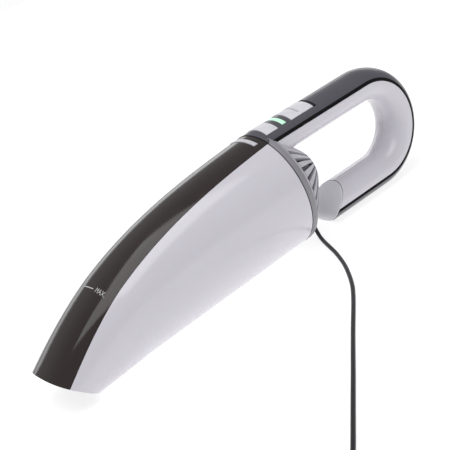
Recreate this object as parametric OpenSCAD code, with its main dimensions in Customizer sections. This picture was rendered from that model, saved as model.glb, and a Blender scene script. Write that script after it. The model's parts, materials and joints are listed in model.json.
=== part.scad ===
// Cordless handheld vacuum with a loop handle, a clip-off dust cup and a charging lead.
// Millimetres. The nozzle points along -X, the handle along +X, +Z is up and the floor is z = 0.

/* [Dust cup] */
// Length from the front ring to the nozzle's tip
cup_len = 243; // [205:1:290]
// Outer radius where the cup meets the ring
cup_r = 50.5; // [46:0.1:60]
// Wall of the cup's shell and window
cup_wall = 2.2; // [1.6:0.1:2.6]
// Half the nozzle's width at its mouth
nose_half_w = 32.4; // [27:0.1:39]
// Height of the nozzle's upper lip above the floor
nose_top_z = 29; // [24:0.5:35]
// Even fall of the top line towards the nozzle, before it curves down
top_fall = 19.6; // [12:0.1:26]
// How far the mouth leans: length per unit of height
mouth_lean = 1.1; // [0.6:0.05:1.3]
// Squareness of the nozzle's section, where 2 is an ellipse
nose_square = 2.6; // [2:0.1:3]
// Half the window's width at the ring
window_rear_w = 23.3; // [19:0.1:27]
// Half the window's width at the mouth
window_front_w = 30; // [24:0.1:31]

/* [Ring and vent dome] */
// Height of the ring's lowest point above the floor
cup_lift = 2.8; // [2:0.1:5]
// Width of the ring's band along X
ring_w = 5; // [4:0.5:7]
// Length of the vent dome behind the ring
dome_len = 36; // [32:0.5:44]
// Radius of the dome's flat rear end
dome_tip_r = 15.5; // [12:0.5:18]
// Wall of the dome
dome_wall = 2.4; // [2:0.1:3]
// Number of places for a vent slot round the dome
slot_count = 32; // [24:2:40]
// Angle that one slot takes
slot_deg = 5.2; // [4:0.1:6]

/* [Loop handle] */
// Height of the handle's section
arm_h = 28.8; // [26:0.2:33]
// Width of the handle's section
arm_w = 40.8; // [37:0.2:47]
// How much higher the handle's top stands than the cup's top
arm_over = 1.6; // [0.6:0.1:3]
// Straight length of the arms behind the ring
arm_len = 112.2; // [105:0.2:135]
// Rearward lean of the loop's bend
loop_lean = 0.1; // [0:0.01:0.14]
// Wall of the handle's shells
arm_wall = 2.4; // [1.8:0.1:2.6]
// Distance from the ring's front to the middle of the lower arm's free end
free_end_x = 47.8; // [44:0.2:58]
// Lean of the free end's face: length per unit of height
free_end_lean = 1.1; // [0.6:0.05:1.2]
// How strongly the lower half of the free end's face curves back upright
free_end_round = 0.048; // [0:0.002:0.05]
// Half the width of the dark spine cover
spine_half_w = 18.8; // [17:0.1:19.5]
// Half the width of the cover's front edge, where it takes the cup's round shape
flare_half_w = 23.3; // [20:0.1:24]

/* [Controls] */
// Length of the power slider
slider_len = 25; // [20:0.5:27]
// Travel of the power slider
slider_travel = 3; // [2:0.5:4]
// Length of the mode button
mode_len = 12.6; // [10:0.2:14]
// Travel of the mode button
mode_travel = 1.2; // [0.8:0.1:1.3]
// Half the width of the power slider and the mode button
button_half_w = 14.3; // [10:0.1:14.5]
// Length of the light bar along X
led_len = 4.4; // [3:0.1:5]
// Half the width of the cup's release button
release_half_w = 17.4; // [12:0.1:18]
// Travel of the release button
release_travel = 1.5; // [1:0.1:1.8]

/* [Motor and filter] */
// Radius of the motor's can
motor_r = 13.9; // [12:0.1:14.5]
// Length of the motor's can
motor_len = 31; // [28:0.5:33]
// Radius of the motor's shaft
shaft_r = 1.6; // [1.2:0.1:2]
// Outer radius of the fan
fan_r = 34; // [28:0.5:35]
// Number of fan blades
blade_count = 11; // [7:1:15]
// Length of the filter basket
basket_len = 44; // [36:1:48]
// Number of filter pleats
pleat_count = 24; // [16:2:32]

/* [Charging lead] */
// Diameter of the lead
cord_d = 3.4; // [3:0.1:4]
// Length of the mains adapter's body
adapter_len = 62; // [54:1:70]
// Width of the mains adapter's body
adapter_w = 36; // [32:1:42]
// Height of the mains adapter as it lies
adapter_h = 27; // [24:1:32]

/* [Fits] */
// Gap between parts that move past each other
gap = 0.35; // [0.3:0.05:0.5]
// Radial clearance of a running shaft
run_gap = 0.04; // [0.02:0.01:0.08]

/* [Hidden] */

// Overall layout: the body's box is centred on the origin along X.
axis_z = cup_r + cup_lift;
ring_r = cup_r + 0.2;
cup_bottom_z = axis_z - cup_r;
cup_top_z = axis_z + cup_r;
arm_half_h = arm_h / 2;
arm_half_w = arm_w / 2;
arm_pitch = cup_top_z + arm_over - arm_h;
bend_r = arm_pitch / 2;
ring_x = (cup_len - arm_len - bend_r - arm_half_h) / 2;
lower_z = arm_half_h;
upper_z = lower_z + arm_pitch;
mid_z = (lower_z + upper_z) / 2;
arm_end_x = ring_x + arm_len;
cup_start = 0.9;

// Fineness of the lofted skins.
cup_stations = 20;
window_arcs = 10;
shell_arcs = 22;
arm_arcs = 12;
bend_step = 13;

// ---------- shared shapes ----------

function along(s) = s / cup_len;
function cup_half(s) = nose_half_w + (cup_r - nose_half_w) * (1 - pow(along(s), 1.3));
function cup_top(s) = cup_top_z - top_fall * along(s)
  - (cup_top_z - top_fall - nose_top_z) * pow(along(s), 3);
function cup_low(s) = cup_bottom_z * (1 - along(s));
function cup_square(s) = 2 + (nose_square - 2) * along(s);
function lean_at(s) = mouth_lean * max(0, (along(s) - 0.7) / 0.3);
function window_half(s) = window_rear_w + (window_front_w - window_rear_w) * along(s);
function power_of(v, e) = sign(v) * pow(abs(v), e);

// A point of the cup's section at length s and angle t, moved in by a wall.
function cup_point(s, t, inset) =
  let (
    e = 2 / cup_square(s),
    z = (cup_top(s) + cup_low(s)) / 2 + ((cup_top(s) - cup_low(s)) / 2 - inset) * power_of(sin(t), e)
  )
  [ring_x - s + lean_at(s) * (cup_top(s) - z), (cup_half(s) - inset) * power_of(cos(t), e), z];

// The angle at which the window's edge crosses the section at length s.
function window_edge(s) = acos(pow(window_half(s) / cup_half(s), cup_square(s) / 2));

// How far the free end's face stands back at a height above the lower arm's middle.
function end_shift(h) = h + free_end_round * pow(min(0, h), 2);

// A point of the handle's section: across is along Y, out is away from the loop's inside.
function loop_point(st, across, out) =
  let (z = st[1] + out * st[3])
  [st[0] + out * st[2] + st[4] * end_shift(z - lower_z), across, z];

// Stations along the handle: [x, z, outward x, outward z, lean].
function bend_station(a) =
  let (
    t = [-sin(a) + loop_lean * cos(a), cos(a)],
    n = norm(t)
  )
  [arm_end_x + bend_r * (cos(a) + loop_lean * sin(a)), mid_z + bend_r * sin(a), t[1] / n, -t[0] / n, 0];
function handle_stations(root_x) = concat(
  [for (k = [0:4]) [root_x + (arm_end_x + loop_lean * bend_r - root_x) * k / 4, upper_z, 0, 1, 0]],
  [for (a = [90 - bend_step:-bend_step:-80]) bend_station(a)],
  [for (k = [0:4])
    let (from = arm_end_x - loop_lean * bend_r)
    [from + (ring_x + free_end_x - from) * k / 4, lower_z, 0, -1, free_end_lean * k / 4]]
);

// A closed skin between an outer and an inner grid of points.
module skin(outer, inner, closed = false) {
  n = len(outer);
  m = len(outer[0]);
  last = closed ? m - 1 : m - 2;
  function o(i, j) = i * m + j % m;
  function q(i, j) = n * m + i * m + j % m;
  faces = concat(
    [for (i = [0:n - 2], j = [0:last]) [o(i, j), o(i, j + 1), o(i + 1, j + 1), o(i + 1, j)]],
    [for (i = [0:n - 2], j = [0:last]) [q(i, j), q(i + 1, j), q(i + 1, j + 1), q(i, j + 1)]],
    [for (j = [0:last]) [o(0, j + 1), o(0, j), q(0, j), q(0, j + 1)]],
    [for (j = [0:last]) [o(n - 1, j), o(n - 1, j + 1), q(n - 1, j + 1), q(n - 1, j)]],
    closed ? [] : [for (i = [0:n - 2]) [o(i, 0), o(i + 1, 0), q(i + 1, 0), q(i, 0)]],
    closed ? [] : [for (i = [0:n - 2]) [o(i + 1, m - 1), o(i, m - 1), q(i, m - 1), q(i + 1, m - 1)]]
  );
  points = concat([for (row = outer, p = row) p], [for (row = inner, p = row) p]);
  polyhedron(points = points, faces = faces, convexity = 10);
}

// A round rod that follows a route of points, with flat ends.
module rod(route, r, sides = 8) {
  n = len(route);
  function unit(v) = v / norm(v);
  function heading(i) = unit(route[min(i + 1, n - 1)] - route[max(i - 1, 0)]);
  function side(h) = unit(cross(h, abs(h[2]) > 0.9 ? [1, 0, 0] : [0, 0, 1]));
  points = [
    for (i = [0:n - 1], k = [0:sides - 1])
      let (
        h = heading(i),
        a = side(h),
        b = cross(a, h),
        t = 360 * (k + 0.5) / sides
      )
      route[i] + r * cos(t) * a + r * sin(t) * b
  ];
  faces = concat(
    [for (i = [0:n - 2], k = [0:sides - 1])
      let (j = (k + 1) % sides)
      [i * sides + k, (i + 1) * sides + k, (i + 1) * sides + j, i * sides + j]],
    [[for (k = [0:sides - 1]) k]],
    [[for (k = [sides - 1:-1:0]) (n - 1) * sides + k]]
  );
  polyhedron(points = points, faces = faces, convexity = 10);
}

// Extrudes a flat outline (its x along Y, its y along Z) from x_from to x_to.
module along_x(x_from, x_to) {
  translate([x_from, 0, 0])
    rotate([90, 0, 90])
      linear_extrude(x_to - x_from) children();
}

// A cylinder or tube on the motor's axis, with x measured from the ring's front.
module on_axis(x_from, x_to, r, bore = 0) {
  translate([ring_x + x_from, 0, axis_z])
    rotate([0, 90, 0])
      difference() {
        cylinder(h = x_to - x_from, r = r, $fn = 96);
        if (bore > 0) translate([0, 0, -1]) cylinder(h = x_to - x_from + 2, r = bore, $fn = 96);
      }
}

// A box given by its lowest and highest corners.
module span(low, high) {
  translate(low) cube(high - low);
}

// An ellipse as wide and high as the handle's section, grown by more.
function arm_ellipse(more, from = 0, to = 350, step = 10) = [
  for (a = [from:step:to]) [(arm_half_w + more) * sin(a), upper_z + (arm_half_h + more) * cos(a)]
];

// A curved band that follows the handle's top, between two growths and within half_w of the middle.
module top_band(x_from, x_to, low, high, half_w) {
  a = asin(half_w / arm_half_w);
  along_x(x_from, x_to)
    polygon(concat(arm_ellipse(high, -a, a, a / 6), [for (p = [6:-1:-6]) arm_ellipse(low, a * p / 6, a * p / 6)[0]]));
}

// A coil spring standing along Z.
module coil_spring(at, r, wire, height, turns) {
  steps = 14;
  rod([for (k = [0:turns * steps])
    at + [r * cos(360 * k / steps), r * sin(360 * k / steps), wire + (height - 2 * wire) * k / (turns * steps)]],
    wire, 6);
}

// ---------- dust cup ----------

function cup_rows(inset, from_edge, arcs) = [
  for (k = [0:cup_stations])
    let (
      s = cup_start + (cup_len - cup_start) * k / cup_stations,
      e = window_edge(s),
      a = from_edge ? e : 180 - e,
      b = from_edge ? 180 - e : 360 + e
    )
    [for (j = [0:arcs]) cup_point(s, a + (b - a) * j / arcs, inset)]
];

release_x = ring_x - 9.5;
release_len = 4;
latch_x = ring_x - 8.8;
latch_low_z = cup_top_z - 6.4;
latch_high_z = latch_low_z + 1.5;
lip_z = latch_high_z + 0.5;
latch_half_w = 6;
bar_t = 2.2;
spring_y = 12.5;
spring_r = 1.6;
shelf_t = 0.8;
spring_seat_z = cup_top_z - 8.1;
spring_top_z = axis_z + sqrt(pow(cup_r - bar_t, 2) - pow(spring_y + spring_r + 0.3, 2)) - 0.1;

module cup_window() {
  color([0.27, 0.24, 0.23, 0.8]) {
    // Shelves for the two springs under the release button.
    for (side = [-1, 1]) {
      span(
        [ring_x - 11.6, side * spring_y - 2, spring_seat_z - shelf_t],
        [ring_x - 5.4, side * spring_y + 2, spring_seat_z]
      );
      span(
        [ring_x - 11.6, side * spring_y - 2, spring_seat_z - shelf_t],
        [ring_x - 10.6, side * spring_y + 2, cup_top_z - 3.4]
      );
    }
    difference() {
      skin(cup_rows(0, true, window_arcs), cup_rows(cup_wall, true, window_arcs));
      span(
        [release_x - gap, -release_half_w - gap, axis_z],
        [release_x + release_len + gap, release_half_w + gap, cup_top_z + 5]
      );
    }
  }
}

module cup_shell() {
  color([0.86, 0.86, 0.89])
    skin(cup_rows(0, false, shell_arcs), cup_rows(cup_wall, false, shell_arcs));
}

// The duct narrows from the mouth to a level oval that the flap closes.
duct_end_s = 168;
duct_end_z = 17;
duct_half_w = 24;
duct_half_h = 9.5;
duct_wall = 1.6;
duct_fit = 0.15;
duct_stations = 8;
duct_arcs = 28;
flap_pin_r = 1.2;
flap_pin_z = duct_end_z + duct_half_h + 4.2;
flap_pin_x = ring_x - duct_end_s + 2.2;
ear_half_w = 27;
ear_w = 2.4;

function duct_point(v, t, inset) =
  let (
    mouth = cup_point(cup_len - 1, t, cup_wall + duct_fit + inset),
    e = 2 / nose_square,
    oval = [
      ring_x - duct_end_s,
      (duct_half_w - inset) * power_of(cos(t), e),
      duct_end_z + (duct_half_h - inset) * power_of(sin(t), e)
    ],
    w = (1 - cos(180 * v)) / 2
  )
  [mouth[0] + (oval[0] - mouth[0]) * v, mouth[1] + (oval[1] - mouth[1]) * w, mouth[2] + (oval[2] - mouth[2]) * w];
function duct_rows(inset) = [
  for (i = [duct_stations:-1:0])
    [for (j = [0:duct_arcs - 1]) duct_point(i / duct_stations, 360 * j / duct_arcs, inset)]
];

module inlet_duct() {
  color([0.2, 0.2, 0.21]) {
    skin(duct_rows(0), duct_rows(duct_wall), true);
    for (side = [-1, 1])
      difference() {
        translate([flap_pin_x - 8, side * ear_half_w - ear_w / 2, duct_end_z])
          cube([8 + 2 * flap_pin_r, ear_w, flap_pin_z - duct_end_z + 2 * flap_pin_r]);
        translate([flap_pin_x, side * ear_half_w + ear_w, flap_pin_z])
          rotate([90, 0, 0])
            cylinder(h = 2 * ear_w, r = flap_pin_r + run_gap, $fn = 48);
      }
    for (side = [-1, 1])
      span(
        [flap_pin_x - 8, min(side * (duct_half_w - 1.2), side * (ear_half_w + ear_w / 2)), duct_end_z - 1],
        [flap_pin_x - 5, max(side * (duct_half_w - 1.2), side * (ear_half_w + ear_w / 2)), duct_end_z + 1]
      );
  }
}

module inlet_flap() {
  plate_half_w = ear_half_w - ear_w / 2 - gap;
  tall = duct_half_h + 1;
  color([0.16, 0.16, 0.17]) {
    translate([flap_pin_x, ear_half_w + ear_w / 2, flap_pin_z])
      rotate([90, 0, 0])
        cylinder(h = 2 * ear_half_w + ear_w, r = flap_pin_r, $fn = 48);
    translate([flap_pin_x, plate_half_w, flap_pin_z])
      rotate([90, 0, 0])
        cylinder(h = 2 * plate_half_w, r = 2 * flap_pin_r - 0.4, $fn = 48);
    along_x(flap_pin_x - 1.8, flap_pin_x - 0.6)
      polygon(concat(
        [[plate_half_w, flap_pin_z], [-plate_half_w, flap_pin_z]],
        [for (a = [180:10:360])
          [plate_half_w * power_of(cos(a), 2 / nose_square), duct_end_z + tall * power_of(sin(a), 2 / nose_square)]]
      ));
  }
}

// The bar follows the cup's top, and its hook reaches back under the ring's lip.
module release_button() {
  a = asin(release_half_w / cup_r);
  color([0.78, 0.78, 0.8]) {
    along_x(release_x, release_x + release_len)
      polygon(concat(
        [for (p = [-6:6]) (cup_r - 0.1) * [sin(a * p / 6), cos(a * p / 6)] + [0, axis_z]],
        [for (p = [6:-1:-6]) (cup_r - bar_t) * [sin(a * p / 6), cos(a * p / 6)] + [0, axis_z]]
      ));
    span([latch_x, -latch_half_w, latch_low_z], [latch_x + 2.6, latch_half_w, cup_top_z - 2]);
    span([latch_x, -latch_half_w, latch_low_z], [ring_x + ring_w + 2, latch_half_w, latch_high_z - 0.5]);
    span(
      [ring_x + ring_w + 0.5, -latch_half_w, latch_low_z],
      [ring_x + ring_w + 2, latch_half_w, latch_high_z]
    );
  }
}

module latch_springs() {
  color([0.75, 0.75, 0.77])
    for (side = [-1, 1])
      coil_spring([latch_x + 1.3, side * spring_y, spring_seat_z], spring_r, 0.2, spring_top_z - spring_seat_z, 3);
}

// ---------- filter ----------

basket_x = -13.8;
basket_rear_r = ring_r - 12.7;
basket_front_r = ring_r - 19.7;
flange_r = ring_r - 9.3;
flange_w = 2.8;
collar_x = -12;
collar_r = ring_r - 8.1;
collar_bore_r = ring_r - 10.9;

module filter_basket() {
  slots = 20;
  front_x = basket_x - flange_w - basket_len;
  color([0.2, 0.2, 0.22]) {
    on_axis(basket_x - flange_w, basket_x, flange_r, basket_rear_r - 2);
    translate([ring_x, 0, axis_z])
      rotate([0, 90, 0])
        difference() {
          rotate_extrude($fn = 96)
            polygon([
              [basket_rear_r, basket_x - 1], [basket_rear_r, basket_x - flange_w],
              [basket_front_r, front_x], [0, front_x], [0, front_x + 1.6],
              [basket_front_r - 1.8, front_x + 1.6], [basket_rear_r - 1.8, basket_x - flange_w],
              [basket_rear_r - 1.8, basket_x - 1]
            ]);
          for (k = [0:slots - 1])
            rotate([0, 0, 360 * (k + 0.5) / slots])
              translate([basket_front_r - 4, -1.6, front_x + 5])
                cube([15, 3.2, basket_len - 9]);
        }
  }
}

module filter_pleats() {
  tip_r = basket_front_r - 3;
  fold_r = tip_r - 5;
  x_from = basket_x - flange_w - basket_len + 2;
  function star(shift) = [
    for (k = [0:2 * pleat_count - 1])
      let (r = (k % 2 == 0 ? tip_r : fold_r) - shift, a = 180 * k / pleat_count)
      [r * cos(a), axis_z + r * sin(a)]
  ];
  color([0.93, 0.93, 0.91]) {
    translate([ring_x, 0, 0])
      along_x(x_from + 1.4, basket_x - 0.2)
        difference() {
          polygon(star(0));
          polygon(star(1));
        }
    on_axis(x_from, x_from + 1.5, tip_r + 0.6);
  }
}

module filter_seal() {
  color([0.15, 0.15, 0.16])
    on_axis(basket_x + 0.02, collar_x - 0.02, flange_r, flange_r - 3.5);
}

module cup_seal() {
  color([0.15, 0.15, 0.16])
    on_axis(-0.55, 0, cup_r - 0.4, cup_r - 3.2);
}

// ---------- ring and vent dome ----------

// The gap in the ring that the cup's hook passes through.
module latch_gap() {
  span(
    [ring_x + collar_x - 1, -latch_half_w - 1.5, latch_low_z - release_travel - 1],
    [ring_x + ring_w + 3, latch_half_w + 1.5, lip_z]
  );
}

ring_plate_w = 2.2;

// The wedge at the top of the ring that the cover's flared front fills, from one height up and as far back as x_end.
module flare_wedge(from_z, x_end) {
  front_w = flare_half_w + gap;
  rear_w = spine_half_w + 0.3 + gap;
  translate([0, 0, from_z])
    linear_extrude(ring_r)
      polygon([
        [ring_x - 1, -front_w], [ring_x + 0.8, -front_w], [x_end, -rear_w],
        [x_end, rear_w], [ring_x + 0.8, front_w], [ring_x - 1, front_w]
      ]);
}

module front_ring() {
  color([0.58, 0.58, 0.6])
    difference() {
      union() {
        on_axis(0, ring_w, ring_r, ring_r - 2.4);
        on_axis(0, ring_plate_w, ring_r - 1, collar_bore_r);
        on_axis(collar_x, 1, collar_r, collar_bore_r);
      }
      latch_gap();
      along_x(ring_x + ring_plate_w + 0.1, ring_x + ring_w + 1) polygon(arm_ellipse(gap));
      difference() {
        flare_wedge(upper_z, ring_x + ring_w + 0.6);
        on_axis(-2, ring_plate_w + 0.1, ring_r - cover_t - 0.7);
      }
    }
}

function dome_r(x) = dome_tip_r + (ring_r - 1.4 - dome_tip_r) * (1 - pow(x / dome_len, 1.12));
dome_steps = 8;
slot_start = 4.3;
jack_deg = 20;
jack_r_on_dome = ring_r - 14.7;
screw_circle_r = ring_r - 13.7;
plate_screw_degs = [30, 150, 270];

module vent_slot(a) {
  half = slot_deg / 2;
  far = 2 * ring_r;
  translate([0, 0, axis_z])
    rotate([a, 0, 0])
      along_x(ring_x + ring_w + slot_start, ring_x + ring_w + dome_len + 1)
        polygon([
          [(dome_tip_r - 2) * cos(half), -(dome_tip_r - 2) * sin(half)], [far, -far * tan(half)],
          [far, far * tan(half)], [(dome_tip_r - 2) * cos(half), (dome_tip_r - 2) * sin(half)]
        ]);
}

// The direction out of the dome where the jack sits, and the point on its surface.
jack_x = ring_x + ring_w + dome_len * pow((ring_r - 1.4 - jack_r_on_dome) / (ring_r - 1.4 - dome_tip_r), 1 / 1.12);
jack_point = [jack_x, jack_r_on_dome * sin(jack_deg), axis_z - jack_r_on_dome * cos(jack_deg)];
jack_tilt = 43;

// Turns children so that their +Z is the jack's outward direction and their +X leads the cord away.
module at_jack() {
  translate(jack_point)
    rotate([jack_deg, 0, 0])
      rotate([0, 180 - jack_tilt, 0])
        rotate([0, 0, -90]) children();
}

module vent_dome() {
  color([0.8, 0.8, 0.82])
    difference() {
      union() {
        translate([ring_x + ring_w, 0, axis_z])
          rotate([0, 90, 0])
            rotate_extrude($fn = 96)
              polygon(concat(
                [[dome_r(0) - 4, 0]],
                [for (k = [0:dome_steps]) [dome_r(dome_len * k / dome_steps), dome_len * k / dome_steps]],
                [[0, dome_len], [0, dome_len - dome_wall]],
                [for (k = [dome_steps - 1:-1:1])
                  [dome_r(dome_len * k / dome_steps) - dome_wall * 1.4, dome_len * k / dome_steps - dome_wall * 0.4]]
              ));
        on_axis(2.5, ring_w + 0.5, ring_r - 2.7, ring_r - 5.6);
        for (a = plate_screw_degs)
          translate([ring_x + ring_w, screw_circle_r * cos(a), axis_z + screw_circle_r * sin(a)])
            rotate([0, 90, 0]) cylinder(h = 12, r = 3.2, $fn = 48);
      }
      for (k = [0:slot_count - 1])
        let (
          a = 90 + 360 * k / slot_count,
          from_top = min(a - 90, 450 - a),
          from_jack = abs(a - 270 - jack_deg)
        )
        if (from_top > 38 && from_jack > 14) vent_slot(a);
      along_x(ring_x + 1, ring_x + ring_w + dome_len + 2) polygon(arm_ellipse(gap));
      flare_wedge(upper_z, ring_x + ring_w - 0.3);
      for (a = plate_screw_degs)
        translate([ring_x + ring_w - 1, screw_circle_r * cos(a), axis_z + screw_circle_r * sin(a)])
          rotate([0, 90, 0]) cylinder(h = 11, r = 1.45, $fn = 32);
      at_jack() translate([0, 0, -6]) cylinder(h = 8, r = 4.6, $fn = 48);
    }
}

// ---------- loop handle ----------

seam = 0.06;
cover_t = 2.2;
edge_out = 2.9;
root_x = ring_x + ring_w + 0.2;
// Places of the screws that join the shells: [x, z].
boss_places = [
  [ring_x + 60, upper_z - 9.2],
  [arm_end_x + bend_r * 0.9, mid_z + bend_r * 0.42],
  [arm_end_x + bend_r * 0.83, mid_z - bend_r * 0.42],
  [ring_x + free_end_x + 11.6, lower_z + 3.4]
];
boss_r = 3.3;
screw_r = 1.4;
head_r = 2.3;

function shell_row(st, side, inset) = [
  for (j = [0:arm_arcs])
    let (
      a0 = acos(edge_out / arm_half_h) + 1,
      p = side > 0 ? j / arm_arcs : 1 - j / arm_arcs,
      a = a0 + (180 - a0) * p
    )
    loop_point(st, side * max(seam, (arm_half_w - inset) * sin(a)), (arm_half_h - inset) * cos(a))
];

// How far the cover's front takes the cup's round shape: 1 at the ring's front edge, 0 behind the ring.
function flare_at(st) = st[3] == 1 && st[2] == 0 ? max(0, min(1, (ring_x + ring_w - st[0]) / (ring_w - 0.8))) : 0;
function round_point(st, r, a) = [st[0], r * sin(a), axis_z + r * cos(a)];
function cover_row(st, inset) =
  let (
    a = asin(spine_half_w / arm_half_w),
    b = flare_at(st),
    round_a = asin(flare_half_w / ring_r),
    k = inset == 0 ? 0 : 1
  )
  [
    for (j = [-7:7])
      let (
        side = sign(j),
        on_edge = abs(j) == 7,
        arm = on_edge ? loop_point(st, side * (spine_half_w + 0.3 - k * cover_t), edge_out + 0.15)
          : loop_point(st, (arm_half_w - inset) * sin(a * j / 6), (arm_half_h - inset) * cos(a * j / 6)),
        ring = on_edge ? round_point(st, ring_r - cover_t - 0.15, side * (round_a - 2.5 * k))
          : round_point(st, ring_r - inset, (round_a - 2.5 * k) * j / 6)
      )
      arm * (1 - b) + ring * b
  ];

// The cap on the free end: a thin oval that follows the slanted face, with a post inside the shells.
module free_end_cap() {
  steps = 24;
  cap_t = 1.2;
  clear = 0.05;
  base_x = ring_x + free_end_x;
  post_r = 3;
  post_z = lower_z - 3;
  function section(i) =
    let (
      a = 180 * i / steps,
      h = (arm_half_h - 0.5) * cos(a),
      y = max(1, (arm_half_w - 0.5) * sin(a)),
      x = base_x + free_end_lean * end_shift(h) - clear
    )
    [[x - cap_t, -y, lower_z + h], [x - cap_t, y, lower_z + h], [x, y, lower_z + h], [x, -y, lower_z + h]];
  color([0.74, 0.74, 0.77]) {
    polyhedron(
      points = [for (i = [0:steps], p = section(i)) p],
      faces = concat(
        [[0, 1, 2, 3]],
        [for (i = [0:steps - 1], k = [0:3]) [4 * i + k, 4 * i + 4 + k, 4 * i + 4 + (k + 1) % 4, 4 * i + (k + 1) % 4]],
        [[4 * steps + 3, 4 * steps + 2, 4 * steps + 1, 4 * steps]]
      ),
      convexity = 4
    );
    translate([base_x - 3.2, 0, post_z])
      rotate([0, 90, 0]) cylinder(h = 8, r = post_r, $fn = 32);
  }
}

// Half the handle's width where a boss stands, from its distance to the arm's or the bend's middle line.
function width_at(place) =
  let (
    in_bend = place[0] > arm_end_x,
    off = in_bend ? norm([place[0] - arm_end_x, place[1] - mid_z]) - bend_r
      : abs(place[1] - mid_z) - bend_r
  )
  arm_half_w * sqrt(1 - pow(off / arm_half_h, 2));

module boss(place, side) {
  translate([place[0], side * seam, place[1]])
    rotate([-90 * side, 0, 0]) cylinder(h = width_at(place) - arm_wall * 0.6, r = boss_r, $fn = 32);
}

module shell_half(side) {
  stations = handle_stations(root_x);
  skin([for (st = stations) shell_row(st, side, 0)], [for (st = stations) shell_row(st, side, arm_wall)]);
}

module left_shell() {
  color([0.87, 0.86, 0.89])
    difference() {
      union() {
        shell_half(-1);
        for (place = boss_places) boss(place, -1);
      }
      for (place = boss_places)
        translate([place[0], 1, place[1]])
          rotate([90, 0, 0]) cylinder(h = 13, r = screw_r + 0.05, $fn = 32);
    }
}

module right_shell() {
  color([0.87, 0.86, 0.89])
    difference() {
      union() {
        shell_half(1);
        for (place = boss_places) boss(place, 1);
      }
      for (place = boss_places) {
        translate([place[0], -1, place[1]])
          rotate([-90, 0, 0]) cylinder(h = 30, r = screw_r + 0.2, $fn = 32);
        translate([place[0], 12, place[1]])
          rotate([-90, 0, 0]) cylinder(h = 30, r = head_r + 0.15, $fn = 32);
      }
    }
}

module shell_screws() {
  color([0.6, 0.6, 0.62])
    for (place = boss_places) {
      translate([place[0], -10, place[1]])
        rotate([-90, 0, 0]) cylinder(h = 21.5, r = screw_r, $fn = 32);
      translate([place[0], 10.6 + screw_r, place[1]])
        rotate([-90, 0, 0])
          difference() {
            cylinder(h = 1.8, r = head_r, $fn = 32);
            translate([0, 0, 0.9]) cylinder(h = 2, r = 1.1, $fn = 6);
          }
    }
}

// Places along the top, measured from the ring's front.
mode_x = ring_x + 7.2;
led_x = mode_x + mode_len + 5.6;
slider_x = led_x + led_len + 4.8;
board_z = upper_z + 1;
board_t = 1.6;
board_top = board_z + board_t;

module spine_cover() {
  stations = concat(
    [for (x = [0.8, (ring_w + 0.8) / 2]) [ring_x + x, upper_z, 0, 1, 0]],
    handle_stations(ring_x + ring_w)
  );
  color([0.27, 0.27, 0.29])
    difference() {
      skin([for (st = stations) cover_row(st, 0)], [for (st = stations) cover_row(st, cover_t)]);
      span(
        [mode_x - gap, -button_half_w - gap, upper_z],
        [mode_x + mode_len + gap, button_half_w + gap, upper_z + 2 * arm_half_h]
      );
      span(
        [slider_x - gap, -button_half_w - gap, upper_z],
        [slider_x + slider_len + slider_travel + gap, button_half_w + gap, upper_z + 2 * arm_half_h]
      );
      span(
        [led_x - 0.1, -button_half_w + 0.7, upper_z],
        [led_x + led_len + 0.1, button_half_w - 0.7, upper_z + 2 * arm_half_h]
      );
      on_axis(-1, ring_plate_w + 0.25, ring_r - cover_t - 0.4);
    }
}

module power_slider() {
  lever_x = slider_x + slider_len / 2;
  color([0.93, 0.93, 0.94]) {
    difference() {
      top_band(slider_x, slider_x + slider_len, -3, 0.4, button_half_w);
      span(
        [slider_x + slider_len * 0.42, -button_half_w + 2.4, upper_z + arm_half_h * 0.5],
        [slider_x + slider_len * 0.42 + 1.6, button_half_w - 2.4, upper_z + arm_half_h + 2]
      );
      top_band(slider_x - 1, slider_x + slider_len + 1, -20, -1.6, button_half_w + 2);
    }
    span([slider_x + slider_len * 0.42 - 1, -button_half_w + 2.4, upper_z + arm_half_h * 0.66],
      [slider_x + slider_len * 0.42 + 2.6, button_half_w - 2.4, upper_z + arm_half_h * 0.82]);
    span([lever_x - 1.2, -3, board_top + 5.2], [lever_x + 1.2, 3, upper_z + arm_half_h - 1.2]);
  }
}

module slide_switch() {
  lever_x = slider_x + slider_len / 2;
  color([0.2, 0.2, 0.22])
    span([lever_x - 7, -4, board_top], [lever_x + 7, 4, board_top + 3.2]);
  color([0.7, 0.7, 0.7])
    span([lever_x - 1.5, -2, board_top + 3.2], [lever_x + 1.5, 2, board_top + 4.8]);
}

module mode_button() {
  stem_x = mode_x + mode_len / 2;
  color([0.93, 0.93, 0.94]) {
    top_band(mode_x, mode_x + mode_len, -1.6, 0.4, button_half_w);
    translate([stem_x, 0, board_top + 3.1 + mode_travel])
      cylinder(h = upper_z + arm_half_h - 1 - board_top - 3.1 - mode_travel, r = 1.8, $fn = 48);
  }
}

module mode_spring() {
  color([0.75, 0.75, 0.77])
    coil_spring([mode_x + mode_len / 2, 0, board_top], 5.2, 0.3, upper_z + arm_half_h - 2.3 - board_top, 4);
}

module tact_switch() {
  stem_x = mode_x + mode_len / 2;
  color([0.2, 0.2, 0.22])
    translate([stem_x - 3, -3, board_top]) cube([6, 6, 2.4]);
  color([0.85, 0.85, 0.85])
    translate([stem_x, 0, board_top + 2.4]) cylinder(h = 0.6, r = 1.6, $fn = 32);
}

module light_bar() {
  color([0.72, 1, 0.82]) {
    top_band(led_x, led_x + led_len, -2.2, 0.05, button_half_w - 0.9);
    span([led_x + 1, -6, board_top + 0.8], [led_x + led_len - 1, 6, upper_z + arm_half_h - 2]);
  }
}

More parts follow.
